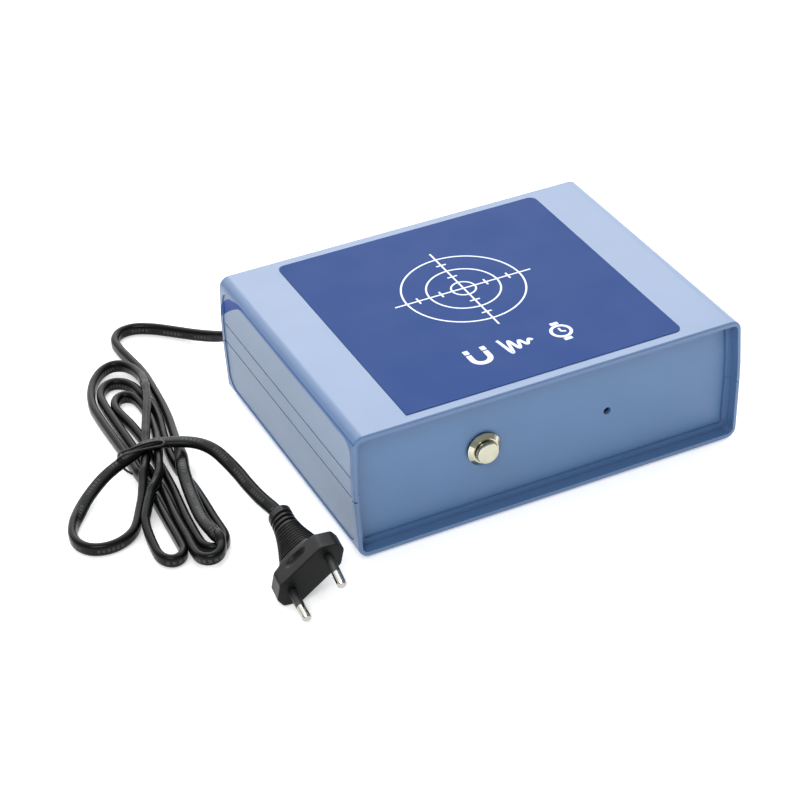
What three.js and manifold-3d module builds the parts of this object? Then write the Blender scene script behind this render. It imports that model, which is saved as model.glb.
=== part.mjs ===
// Watch demagnetizer: a flat two-half plastic case with a mains coil under the target on its lid.
// The user lays a watch on the target and presses the push button on the recessed front panel.
// Millimetres, +Z up. The origin is on the floor, under the middle of the case. The front faces -Y,
// the mains lead leaves the rear panel towards +Y and lies in a loose hank beside the case, at -X.

import * as THREE from 'three';
import { mergeVertices } from 'three/addons/utils/BufferGeometryUtils.js';
import Module from 'manifold-3d';

const wasm = await Module();
wasm.setup();

// ---------- driving dimensions ----------

// Case
const CASE_DEPTH = 128.4;
const CASE_HEIGHT = 54.6;
const HALF_WIDTH_MID = 83.2; // at the parting line, the widest place
const HALF_WIDTH_EDGE = 82.5; // beside the top and bottom corners, because the sides have draft
const FOOT_PROUD = 1;
const CASE_BOTTOM = FOOT_PROUD;
const CASE_TOP = CASE_BOTTOM + CASE_HEIGHT;
const PARTING_Z = 27.2;
const SEAM_GAP = 0.2;
const SIDE_GROOVE_Z = 36;
const CORNER_RADIUS = 4.5;
const RIM_ROUNDING = 0.6;
const SIDE_WALL = 1.6;
const FLAT_WALL = 2.1;
const INNER_RADIUS = 2.4;
const POCKET_DEPTH = 0.6;
const POCKET_HALF_LENGTH = 61.4;
const POCKET_TOP = 51.6;
const POCKET_RADIUS = 6;
const FRONT = -CASE_DEPTH / 2;
const REAR = CASE_DEPTH / 2;

// Panels and the ribs that hold them
const LIP_HEIGHT = 2.45;
const LIP_THICKNESS = 1.2;
const LIP_SETBACK = 4.6; // from the rim to the lip's outer face
const PANEL_THICKNESS = 2;
const PANEL_GAP = 0.15; // from the panel's faces to the ribs
const PANEL_EDGE_GAP = 0.35;
const PANEL_FACE = FRONT + LIP_SETBACK + LIP_THICKNESS + PANEL_GAP;
const PANEL_BACK = PANEL_FACE + PANEL_THICKNESS;

// Label on the lid
const LABEL_WIDTH = 117.7;
const LABEL_LENGTH = 119.3;
const LABEL_THICKNESS = 0.2;
const LABEL_RADIUS = 3.2;
const LABEL_SQUARE_CORNER = 0.4; // the front left corner is cut square
const LABEL_GAP = 0.05;

// Feet and case screws
const FOOT_X = 66;
const FOOT_Y = 53.5;
const FOOT_RADIUS = 5;
const FOOT_THICKNESS = 1.7;
const SCREW_X = 66;
const SCREW_Y = 38;
const BOSS_RADIUS = 4.5;
const SCREW_SHANK_RADIUS = 1.45;
const SCREW_HEAD_RADIUS = 2.9;
const SCREW_HEAD_BOTTOM = 5;
const SCREW_HEAD_HEIGHT = 2;
const SCREW_TIP = 38;

// Push button, on an axis along Y
const BUTTON_X = -27.1;
const BUTTON_Z = 29.4;
const BUTTON_CAP_RADIUS = 4.5;
const BUTTON_BORE_RADIUS = 4.95;
const BUTTON_NECK_RADIUS = 4.7; // retains the cap's shoulder
const BUTTON_SHOULDER_RADIUS = 4.85;
const BUTTON_BUSH_RADIUS = 5.9;
const BUTTON_FLANGE_RADIUS = 7;
const BUTTON_FLANGE_HEIGHT = 1.8;
const BUTTON_PROUD = 2.2; // of the cap in front of the flange
const BUTTON_TRAVEL = 2; // the press that the slide joint allows
const GASKET_THICKNESS = 0.6;

// Indicator
const LED_X = 26.7;
const LED_Z = 28.1;
const LED_HOLE_RADIUS = 1.6;
const LED_RADIUS = 1.45;

// Coil and core, under the target
const CORE_X = -0.4;
const CORE_Y = 8.4;
const CORE_BOTTOM = 9;
const CORE_WIDTH = 72;
const CORE_STACK = 26;
const CORE_HEIGHT = 41;
const CORE_CENTRE_LEG = 24;
const CORE_SIDE_LEG = 11;
const CORE_YOKE = 12;
const BOBBIN_WALL = 1.2;
const BRACKET_THICKNESS = 1.5;
const BRACKET_HALF_SPAN = 50;
const BRACKET_WIDTH = 18;
const POST_X = 44;
const POST_RADIUS = 4;

// Mains lead: a flat twin cord
const CORD_WIDTH = 5.4;
const CORD_THICKNESS = 3.4;
const EXIT_X = -66;
const EXIT_Z = 14;
const RELIEF_TIP_Y = 78;
const RELIEF_INNER_Y = 54;
const LEAD_INNER_Y = RELIEF_INNER_Y - 3; // where the lead's jacket ends inside the case
const WIRE_START_Y = LEAD_INNER_Y - 0.6;

// Plug, lying on one of its chamfers
const PLUG_POSITION = [-107.1, -76.1, 11.4];
const PLUG_YAW = -7;
const PLUG_PITCH = -2; // its neck is a little lower than its face
const PLUG_ROLL = 38.1;
const PLUG_WIDTH = 30.8;
const PLUG_HEIGHT = 11.8;
const PLUG_FLAT_WIDTH = 20.6;
const PLUG_SIDE_HEIGHT = 3.8;
const PLUG_SLAB = 9;
const PLUG_LENGTH = 43;
const PIN_TOE_IN = 1.66; // the pins lean together a little towards their tips
const PIN_SPACING = 18.6;
const PIN_LENGTH = 17.3;
const PIN_RADIUS = 1.8;
const SLEEVE_RADIUS = 1.75;
const SLEEVE_LENGTH = 10.2;

// ---------- materials ----------

const plastic = (colour, roughness = 0.4) =>
  new THREE.MeshStandardMaterial({ color: colour, roughness, metalness: 0 });
const metal = (colour, roughness = 0.3) =>
  new THREE.MeshStandardMaterial({ color: colour, roughness, metalness: 1 });

const LID_BLUE = 0x9fbfe0;
const CASE_BLUE = 0x8fb0d8;
const PANEL_BLUE = 0x6f92c2;
const LABEL_NAVY = 0x46539b;
const CORD_BLACK = 0x1b1b1c;
const NICKEL = 0xc8c5b2;
const STEEL = 0xa9adb0;

// ---------- helpers ----------

const group = new THREE.Group();

function addMesh(name, geometry, material, parent = group) {
  const mesh = new THREE.Mesh(geometry, material);
  mesh.name = name;
  parent.add(mesh);
  return mesh;
}

// Merges shared corners, drops flat triangles and turns the faces outwards.
function closed(geometry) {
  const bare = geometry.clone();
  bare.deleteAttribute('normal');
  bare.deleteAttribute('uv');
  const merged = mergeVertices(bare, 1e-4);
  const corners = merged.index.array;
  const kept = [];
  for (let i = 0; i < corners.length; i += 3) {
    const [a, b, c] = [corners[i], corners[i + 1], corners[i + 2]];
    if (a !== b && b !== c && c !== a) kept.push(a, b, c);
  }
  if (signedVolume(merged.attributes.position, kept) < 0) kept.reverse();
  merged.setIndex(kept);
  return merged;
}

function signedVolume(position, index) {
  const [a, b, c] = [new THREE.Vector3(), new THREE.Vector3(), new THREE.Vector3()];
  let volume = 0;
  for (let i = 0; i < index.length; i += 3) {
    a.fromBufferAttribute(position, index[i]);
    b.fromBufferAttribute(position, index[i + 1]);
    c.fromBufferAttribute(position, index[i + 2]);
    volume += a.dot(b.cross(c)) / 6;
  }
  return volume;
}

function solid(geometry) {
  const shape = closed(geometry);
  return new wasm.Manifold(
    new wasm.Mesh({
      numProp: 3,
      vertProperties: new Float32Array(shape.attributes.position.array),
      triVerts: new Uint32Array(shape.index.array),
    }),
  );
}

function toGeometry(manifold) {
  const result = manifold.getMesh();
  const geometry = new THREE.BufferGeometry();
  geometry.setAttribute('position', new THREE.BufferAttribute(result.vertProperties, 3));
  geometry.setIndex(new THREE.BufferAttribute(result.triVerts, 1));
  return geometry;
}

const cut = (body, ...tools) => tools.reduce((left, tool) => left.subtract(tool), body);
const join = (...bodies) => bodies.reduce((sum, body) => sum.add(body));

// A shape drawn in X and Z, extruded from one Y to another.
function alongY(shape, from, to, curveSegments = 6) {
  const geometry = new THREE.ExtrudeGeometry(shape, {
    depth: to - from,
    bevelEnabled: false,
    curveSegments,
  });
  return geometry.rotateX(Math.PI / 2).translate(0, to, 0);
}

// A shape drawn in Y and Z, extruded from one X to another.
function alongX(shape, from, to, curveSegments = 6) {
  const geometry = new THREE.ExtrudeGeometry(shape, {
    depth: to - from,
    bevelEnabled: false,
    curveSegments,
  });
  return geometry.rotateX(Math.PI / 2).rotateZ(Math.PI / 2).translate(from, 0, 0);
}

// A shape drawn in X and Y, extruded from one Z to another.
function alongZ(shape, from, to, curveSegments = 6) {
  const geometry = new THREE.ExtrudeGeometry(shape, {
    depth: to - from,
    bevelEnabled: false,
    curveSegments,
  });
  return geometry.translate(0, 0, from);
}

function roundedRectangle(width, height, radius, centreX = 0, centreY = 0, lowRadius = radius) {
  const [x, y] = [centreX - width / 2, centreY - height / 2];
  const shape = new THREE.Shape();
  shape.moveTo(x + lowRadius, y);
  shape.lineTo(x + width - radius, y);
  shape.absarc(x + width - radius, y + radius, radius, -Math.PI / 2, 0, false);
  shape.lineTo(x + width, y + height - radius);
  shape.absarc(x + width - radius, y + height - radius, radius, 0, Math.PI / 2, false);
  shape.lineTo(x + radius, y + height);
  shape.absarc(x + radius, y + height - radius, radius, Math.PI / 2, Math.PI, false);
  shape.lineTo(x, y + lowRadius);
  shape.absarc(x + lowRadius, y + lowRadius, lowRadius, Math.PI, 1.5 * Math.PI, false);
  return shape;
}

function polygon(points) {
  return new THREE.Shape(points.map(([x, y]) => new THREE.Vector2(x, y)));
}

function box(x0, x1, y0, y1, z0, z1) {
  const geometry = new THREE.BoxGeometry(x1 - x0, y1 - y0, z1 - z0);
  return geometry.translate((x0 + x1) / 2, (y0 + y1) / 2, (z0 + z1) / 2);
}

// A turned piece about Y, from pairs of radius and y.
function turnedY(profile, segments = 28) {
  return new THREE.LatheGeometry(
    profile.map(([radius, y]) => new THREE.Vector2(radius, y)),
    segments,
  );
}

// A turned piece about Z, from pairs of radius and z.
const turnedZ = (profile, segments = 24) => turnedY(profile, segments).rotateX(Math.PI / 2);

const cylinderZ = (radius, z0, z1, x, y, segments = 20) =>
  turnedZ([[0, z0], [radius, z0], [radius, z1], [0, z1]], segments).translate(x, y, 0);

// ---------- case ----------

// The case's outline in X and Z, moved inwards from its sides and from its flats.
function caseOutline(sideInset, flatInset, radius) {
  const edge = HALF_WIDTH_EDGE - sideInset;
  const mid = HALF_WIDTH_MID - sideInset;
  const low = CASE_BOTTOM + flatInset;
  const high = CASE_TOP - flatInset;
  const quarter = Math.PI / 2;
  const shape = new THREE.Shape();
  shape.moveTo(-edge + radius, low);
  shape.lineTo(edge - radius, low);
  shape.absarc(edge - radius, low + radius, radius, -quarter, 0, false);
  shape.lineTo(mid, PARTING_Z);
  shape.lineTo(mid, SIDE_GROOVE_Z);
  shape.lineTo(edge, high - radius);
  shape.absarc(edge - radius, high - radius, radius, 0, quarter, false);
  shape.lineTo(-edge + radius, high);
  shape.absarc(-edge + radius, high - radius, radius, quarter, 2 * quarter, false);
  shape.lineTo(-mid, SIDE_GROOVE_Z);
  shape.lineTo(-mid, PARTING_Z);
  shape.lineTo(-edge, low + radius);
  shape.absarc(-edge + radius, low + radius, radius, 2 * quarter, 3 * quarter, false);
  return shape;
}

function outerBody() {
  const geometry = new THREE.ExtrudeGeometry(caseOutline(0, 0, CORNER_RADIUS), {
    depth: CASE_DEPTH - 2 * RIM_ROUNDING,
    bevelEnabled: true,
    bevelThickness: RIM_ROUNDING,
    bevelSize: RIM_ROUNDING,
    bevelOffset: -RIM_ROUNDING,
    bevelSegments: 2,
    curveSegments: 6,
  });
  return solid(geometry.rotateX(Math.PI / 2).translate(0, REAR - RIM_ROUNDING, 0));
}

const insetBody = (inset) =>
  solid(alongY(caseOutline(inset, inset, CORNER_RADIUS - inset), FRONT, REAR));

// A frame that stands inwards from the walls all round, and holds a panel.
function panelRib(from, to) {
  const outside = solid(alongY(caseOutline(SIDE_WALL / 2, FLAT_WALL / 2, INNER_RADIUS), from, to));
  const opening = caseOutline(SIDE_WALL + LIP_HEIGHT, FLAT_WALL + LIP_HEIGHT, INNER_RADIUS / 2);
  return cut(outside, solid(alongY(opening, from - 1, to + 1)));
}

// The material between the outer face and a depth below it, where a prism on the sides meets it.
function sideCut(prism, depth) {
  return cut(solid(prism), insetBody(depth));
}

function caseBlank() {
  const cavity = solid(
    alongY(caseOutline(SIDE_WALL, FLAT_WALL, INNER_RADIUS), FRONT - 1, REAR + 1),
  );
  const frontLip = FRONT + LIP_SETBACK;
  const frontBack = PANEL_BACK + PANEL_GAP;
  const hollow = join(
    cut(outerBody(), cavity),
    panelRib(frontLip, frontLip + LIP_THICKNESS),
    panelRib(frontBack, frontBack + LIP_THICKNESS),
    panelRib(-frontLip - LIP_THICKNESS, -frontLip),
    panelRib(-frontBack - LIP_THICKNESS, -frontBack),
  );
  const pocketBottom = CASE_BOTTOM + CORNER_RADIUS;
  const pocket = roundedRectangle(
    2 * POCKET_HALF_LENGTH,
    POCKET_TOP - pocketBottom,
    POCKET_RADIUS,
    0,
    (POCKET_TOP + pocketBottom) / 2,
  );
  const grooveHalf = 0.3;
  const grooveLength = POCKET_HALF_LENGTH - 0.5;
  const rows = [SIDE_GROOVE_Z - grooveHalf, SIDE_GROOVE_Z + grooveHalf];
  const seamRows = [PARTING_Z - 0.3, PARTING_Z + 0.3];
  const beyond = HALF_WIDTH_MID + 2;
  return cut(
    hollow,
    sideCut(alongX(pocket, -beyond, -beyond / 2), POCKET_DEPTH),
    sideCut(alongX(pocket, beyond / 2, beyond), POCKET_DEPTH),
    sideCut(box(-beyond, beyond, -grooveLength, grooveLength, ...rows), POCKET_DEPTH + 0.4),
    sideCut(box(-beyond, beyond, FRONT - 1, REAR + 1, ...seamRows), POCKET_DEPTH + 0.5),
  );
}

const corners = (x, y) => [[-x, -y], [x, -y], [x, y], [-x, y]];

function topShell(blank) {
  const above = solid(box(-90, 90, FRONT - 1, REAR + 1, PARTING_Z + SEAM_GAP / 2, CASE_TOP + 1));
  const ceiling = CASE_TOP - FLAT_WALL / 2;
  const bossBottom = PARTING_Z + SEAM_GAP / 2;
  const bosses = corners(SCREW_X, SCREW_Y).map(([x, y]) =>
    solid(cylinderZ(BOSS_RADIUS, bossBottom, ceiling, x, y)));
  const pilots = corners(SCREW_X, SCREW_Y).map(([x, y]) =>
    solid(cylinderZ(SCREW_SHANK_RADIUS + 0.2, bossBottom - 1, SCREW_TIP + 2, x, y, 16)));
  return cut(join(blank.intersect(above), ...bosses), ...pilots);
}

function bottomShell(blank) {
  const below = solid(box(-90, 90, FRONT - 1, REAR + 1, -1, PARTING_Z - SEAM_GAP / 2));
  const floor = CASE_BOTTOM + FLAT_WALL / 2;
  const bossTop = PARTING_Z - SEAM_GAP / 2;
  const headSeat = SCREW_HEAD_BOTTOM + SCREW_HEAD_HEIGHT + 0.1;
  const bosses = corners(SCREW_X, SCREW_Y).map(([x, y]) =>
    solid(cylinderZ(BOSS_RADIUS, floor, bossTop, x, y)));
  const wells = corners(SCREW_X, SCREW_Y).map(([x, y]) =>
    solid(cylinderZ(SCREW_HEAD_RADIUS + 0.3, -1, headSeat, x, y)));
  const shankHoles = corners(SCREW_X, SCREW_Y).map(([x, y]) =>
    solid(cylinderZ(SCREW_SHANK_RADIUS + 0.3, -1, bossTop + 1, x, y, 16)));
  const footSeats = corners(FOOT_X, FOOT_Y).map(([x, y]) =>
    solid(cylinderZ(FOOT_RADIUS + 0.3, -1, FOOT_THICKNESS + 0.1, x, y)));
  const postTop = CORE_BOTTOM - BRACKET_THICKNESS - 0.4;
  const posts = [-POST_X, POST_X].map((x) =>
    solid(cylinderZ(POST_RADIUS, floor, postTop, CORE_X + x, CORE_Y, 16)));
  const postHoles = [-POST_X, POST_X].map((x) =>
    solid(cylinderZ(1.4, CASE_BOTTOM + FLAT_WALL + 0.6, postTop + 1, CORE_X + x, CORE_Y, 12)));
  const whole = join(blank.intersect(below), ...bosses, ...posts);
  return cut(whole, ...wells, ...shankHoles, ...footSeats, ...postHoles);
}

function panelBlank(face) {
  const sideInset = SIDE_WALL + PANEL_EDGE_GAP + HALF_WIDTH_MID - HALF_WIDTH_EDGE;
  const outline = roundedRectangle(
    2 * (HALF_WIDTH_MID - sideInset),
    CASE_HEIGHT - 2 * (FLAT_WALL + PANEL_EDGE_GAP),
    INNER_RADIUS,
    0,
    CASE_BOTTOM + CASE_HEIGHT / 2,
  );
  return solid(alongY(outline, face, face + PANEL_THICKNESS));
}

const holeY = (radius, x, y, z, segments = 28) =>
  solid(turnedY([[0, -4], [radius, -4], [radius, 4], [0, 4]], segments).translate(x, y, z));

function addCase() {
  const blank = caseBlank();
  addMesh('top_shell', toGeometry(topShell(blank)), plastic(LID_BLUE, 0.32));
  addMesh('bottom_shell', toGeometry(bottomShell(blank)), plastic(CASE_BLUE, 0.35));
  const frontPanel = cut(
    panelBlank(PANEL_FACE),
    holeY(BUTTON_BUSH_RADIUS + 0.15, BUTTON_X, PANEL_FACE, BUTTON_Z),
    holeY(LED_HOLE_RADIUS, LED_X, PANEL_FACE, LED_Z, 20),
  );
  addMesh('front_panel', toGeometry(frontPanel), plastic(PANEL_BLUE, 0.4));
  const rearPanel = cut(
    panelBlank(-PANEL_BACK),
    holeY(RELIEF_NECK_RADIUS + 0.2, EXIT_X, -PANEL_FACE, EXIT_Z),
  );
  addMesh('rear_panel', toGeometry(rearPanel), plastic(PANEL_BLUE, 0.4));
  const labelBottom = CASE_TOP + LABEL_GAP;
  const labelSize = [LABEL_WIDTH, LABEL_LENGTH, LABEL_RADIUS];
  const labelShape = roundedRectangle(...labelSize, 0, 0, LABEL_SQUARE_CORNER);
  const label = alongZ(labelShape, labelBottom, labelBottom + LABEL_THICKNESS);
  addMesh('target_label', label, plastic(LABEL_NAVY, 0.45));
}

function addFeetAndScrews() {
  const rubber = plastic(0x202224, 0.9);
  const foot = turnedZ([
    [0, 0],
    [FOOT_RADIUS - 0.5, 0],
    [FOOT_RADIUS, 0.5],
    [FOOT_RADIUS, FOOT_THICKNESS],
    [0, FOOT_THICKNESS],
  ]);
  corners(FOOT_X, FOOT_Y).forEach(([x, y], i) => {
    addMesh(`rubber_foot_${i + 1}`, foot, rubber).position.set(x, y, 0);
  });
  const zinc = metal(STEEL, 0.35);
  corners(SCREW_X, SCREW_Y).forEach(([x, y], i) => {
    const screw = toGeometry(panScrew(SCREW_TIP - SCREW_HEAD_BOTTOM));
    addMesh(`case_screw_${i + 1}`, screw, zinc).position.set(x, y, SCREW_HEAD_BOTTOM);
  });
}

// A cross-recessed screw that points up: its head's face is at z = 0.
function panScrew(length, headRadius = SCREW_HEAD_RADIUS, shankRadius = SCREW_SHANK_RADIUS) {
  const blank = turnedZ(
    [
      [0, 0],
      [0.7 * headRadius, 0],
      [headRadius, 0.8],
      [headRadius, SCREW_HEAD_HEIGHT],
      [shankRadius, SCREW_HEAD_HEIGHT],
      [shankRadius, length - 1.5],
      [0.3, length],
      [0, length],
    ],
    16,
  );
  const slot = 0.5;
  const reach = 0.6 * headRadius;
  return cut(
    solid(blank),
    solid(box(-reach, reach, -slot / 2, slot / 2, -1, 1)),
    solid(box(-slot / 2, slot / 2, -reach, reach, -1, 1)),
  );
}

// ---------- push button ----------

const gasketFace = PANEL_FACE - GASKET_THICKNESS - 0.1;
const flangeFace = gasketFace - 0.05 - BUTTON_FLANGE_HEIGHT;
const capFace = flangeFace - BUTTON_PROUD;
const neckFront = flangeFace + 1.2;
const neckBack = neckFront + 1;
const bushBack = flangeFace + 14;
const shoulderFront = neckBack + 0.15;
const shoulderBack = shoulderFront + 1.5;

function addButton() {
  const nickel = metal(NICKEL, 0.22);
  const bezel = turnedY(
    [
      [BUTTON_BORE_RADIUS, flangeFace],
      [BUTTON_BORE_RADIUS + 0.45, flangeFace],
      [BUTTON_FLANGE_RADIUS, flangeFace + BUTTON_FLANGE_HEIGHT - 0.5],
      [BUTTON_FLANGE_RADIUS, flangeFace + BUTTON_FLANGE_HEIGHT],
      [BUTTON_BUSH_RADIUS, flangeFace + BUTTON_FLANGE_HEIGHT],
      [BUTTON_BUSH_RADIUS, bushBack],
      [BUTTON_BORE_RADIUS + 0.15, bushBack],
      [BUTTON_BORE_RADIUS + 0.15, neckBack],
      [BUTTON_NECK_RADIUS, neckBack],
      [BUTTON_NECK_RADIUS, neckFront],
      [BUTTON_BORE_RADIUS, neckFront],
      [BUTTON_BORE_RADIUS, flangeFace],
    ],
    36,
  );
  addMesh('button_bezel', bezel, nickel).position.set(BUTTON_X, 0, BUTTON_Z);

  const gasket = turnedY([
    [BUTTON_BUSH_RADIUS + 0.15, gasketFace],
    [BUTTON_FLANGE_RADIUS - 0.1, gasketFace],
    [BUTTON_FLANGE_RADIUS - 0.1, gasketFace + GASKET_THICKNESS],
    [BUTTON_BUSH_RADIUS + 0.15, gasketFace + GASKET_THICKNESS],
    [BUTTON_BUSH_RADIUS + 0.15, gasketFace],
  ]);
  addMesh('button_gasket', gasket, plastic(0x17181a, 0.8)).position.set(BUTTON_X, 0, BUTTON_Z);

  const stemRadius = 1.4;
  const stemBack = bushBack + 2;
  const cap = turnedY(
    [
      [0, capFace],
      [BUTTON_CAP_RADIUS - 0.5, capFace],
      [BUTTON_CAP_RADIUS - 0.12, capFace + 0.15],
      [BUTTON_CAP_RADIUS, capFace + 0.5],
      [BUTTON_CAP_RADIUS, shoulderFront],
      [BUTTON_SHOULDER_RADIUS, shoulderFront],
      [BUTTON_SHOULDER_RADIUS, shoulderBack],
      [stemRadius, shoulderBack],
      [stemRadius, stemBack],
      [0, stemBack],
    ],
    32,
  );
  addMesh('button_cap', cap, metal(NICKEL, 0.25)).position.set(BUTTON_X, 0, BUTTON_Z);

  addMesh('button_spring', returnSpring(), metal(STEEL)).position.set(BUTTON_X, 0, BUTTON_Z);

  // The insulating switch block behind the bush, with a well that the cap's stem enters.
  const blockBack = bushBack + 11;
  const block = turnedY([
    [stemRadius + 0.4, bushBack + 0.3],
    [BUTTON_BUSH_RADIUS - 0.4, bushBack + 0.3],
    [BUTTON_BUSH_RADIUS - 0.4, blockBack],
    [0, blockBack],
    [0, stemBack + BUTTON_TRAVEL + 1],
    [stemRadius + 0.4, stemBack + BUTTON_TRAVEL + 1],
    [stemRadius + 0.4, bushBack + 0.3],
  ]);
  addMesh('switch_block', block, plastic(0x26282a, 0.6)).position.set(BUTTON_X, 0, BUTTON_Z);
  const brass = metal(0xc9a24b, 0.35);
  [-1, 1].forEach((side, i) => {
    const blade = new THREE.BoxGeometry(0.6, 6, 2.8);
    addMesh(`switch_terminal_${i + 1}`, blade, brass)
      .position.set(BUTTON_X + 2.6 * side, blockBack + 0.2 + 3, BUTTON_Z);
  });

  const washerFront = PANEL_BACK + 0.1;
  const washer = turnedY([
    [BUTTON_BUSH_RADIUS + 0.15, washerFront],
    [8, washerFront],
    [8, washerFront + 0.6],
    [BUTTON_BUSH_RADIUS + 0.15, washerFront + 0.6],
    [BUTTON_BUSH_RADIUS + 0.15, washerFront],
  ]);
  addMesh('button_lock_washer', washer, nickel).position.set(BUTTON_X, 0, BUTTON_Z);
  const nutFront = washerFront + 0.7;
  const hexagon = polygon(
    Array.from({ length: 6 }, (_, i) => {
      const angle = (i * Math.PI) / 3;
      return [8.1 * Math.cos(angle), 8.1 * Math.sin(angle)];
    }),
  );
  const bore = turnedY([
    [0, nutFront - 1],
    [BUTTON_BUSH_RADIUS + 0.15, nutFront - 1],
    [BUTTON_BUSH_RADIUS + 0.15, nutFront + 4],
    [0, nutFront + 4],
  ]);
  const nut = cut(solid(alongY(hexagon, nutFront, nutFront + 2.2)), solid(bore));
  addMesh('button_nut', toGeometry(nut), nickel).position.set(BUTTON_X, 0, BUTTON_Z);
}

// The spring between the cap's shoulder and the switch block. Its turns are a helix about Y.
function returnSpring() {
  const wire = 0.3;
  const radius = 3.6;
  const turns = 4;
  const from = shoulderBack + wire + 0.15;
  const to = bushBack - wire - 0.1;
  const steps = 10 * turns;
  const points = Array.from({ length: steps + 1 }, (_, i) => {
    const angle = (i * Math.PI) / 5;
    const y = from + ((to - from) * i) / steps;
    return new THREE.Vector3(radius * Math.cos(angle), y, radius * Math.sin(angle));
  });
  return tube(points, circle(wire, 5), steps);
}

const circle = (radius, sides) =>
  polygon(
    Array.from({ length: sides }, (_, i) => {
      const angle = (2 * Math.PI * (i + 0.5)) / sides;
      return [radius * Math.cos(angle), radius * Math.sin(angle)];
    }),
  );

// A closed tube of the given section along a smooth curve through the points.
function tube(points, section, steps) {
  const path = new THREE.CatmullRomCurve3(points, false, 'centripetal');
  return new THREE.ExtrudeGeometry(section, { steps, extrudePath: path, bevelEnabled: false });
}

// ---------- indicator ----------

function addIndicator() {
  const lensFront = PANEL_FACE + 0.9;
  const led = turnedY([
    [0, lensFront],
    [0.7 * LED_RADIUS, lensFront + 0.4],
    [LED_RADIUS, lensFront + 1.5],
    [LED_RADIUS, PANEL_BACK + 3.6],
    [0, PANEL_BACK + 3.6],
  ], 16);
  addMesh('indicator_led', led, plastic(0xb8c4c0, 0.2)).position.set(LED_X, 0, LED_Z);
  const boardFront = PANEL_BACK + 3.8;
  const board = box(-9, 9, boardFront, boardFront + 1.2, -11, 8);
  const green = plastic(0x2c6b45, 0.5);
  addMesh('led_board', board, green).position.set(LED_X, 0, LED_Z);
  const resistor = cylinderZ(1.2, -3.4, 3.4, 0, 0, 12);
  addMesh('led_resistor', resistor, plastic(0xc8b48a, 0.5))
    .position.set(LED_X - 4, boardFront + 1.2 + 1.5, LED_Z - 5);
  const diode = cylinderZ(1.3, -2.5, 2.5, 0, 0, 12);
  addMesh('led_diode', diode, plastic(0x222222, 0.5))
    .position.set(LED_X + 4, boardFront + 1.2 + 1.6, LED_Z - 5);
}

// ---------- coil and core ----------

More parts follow.
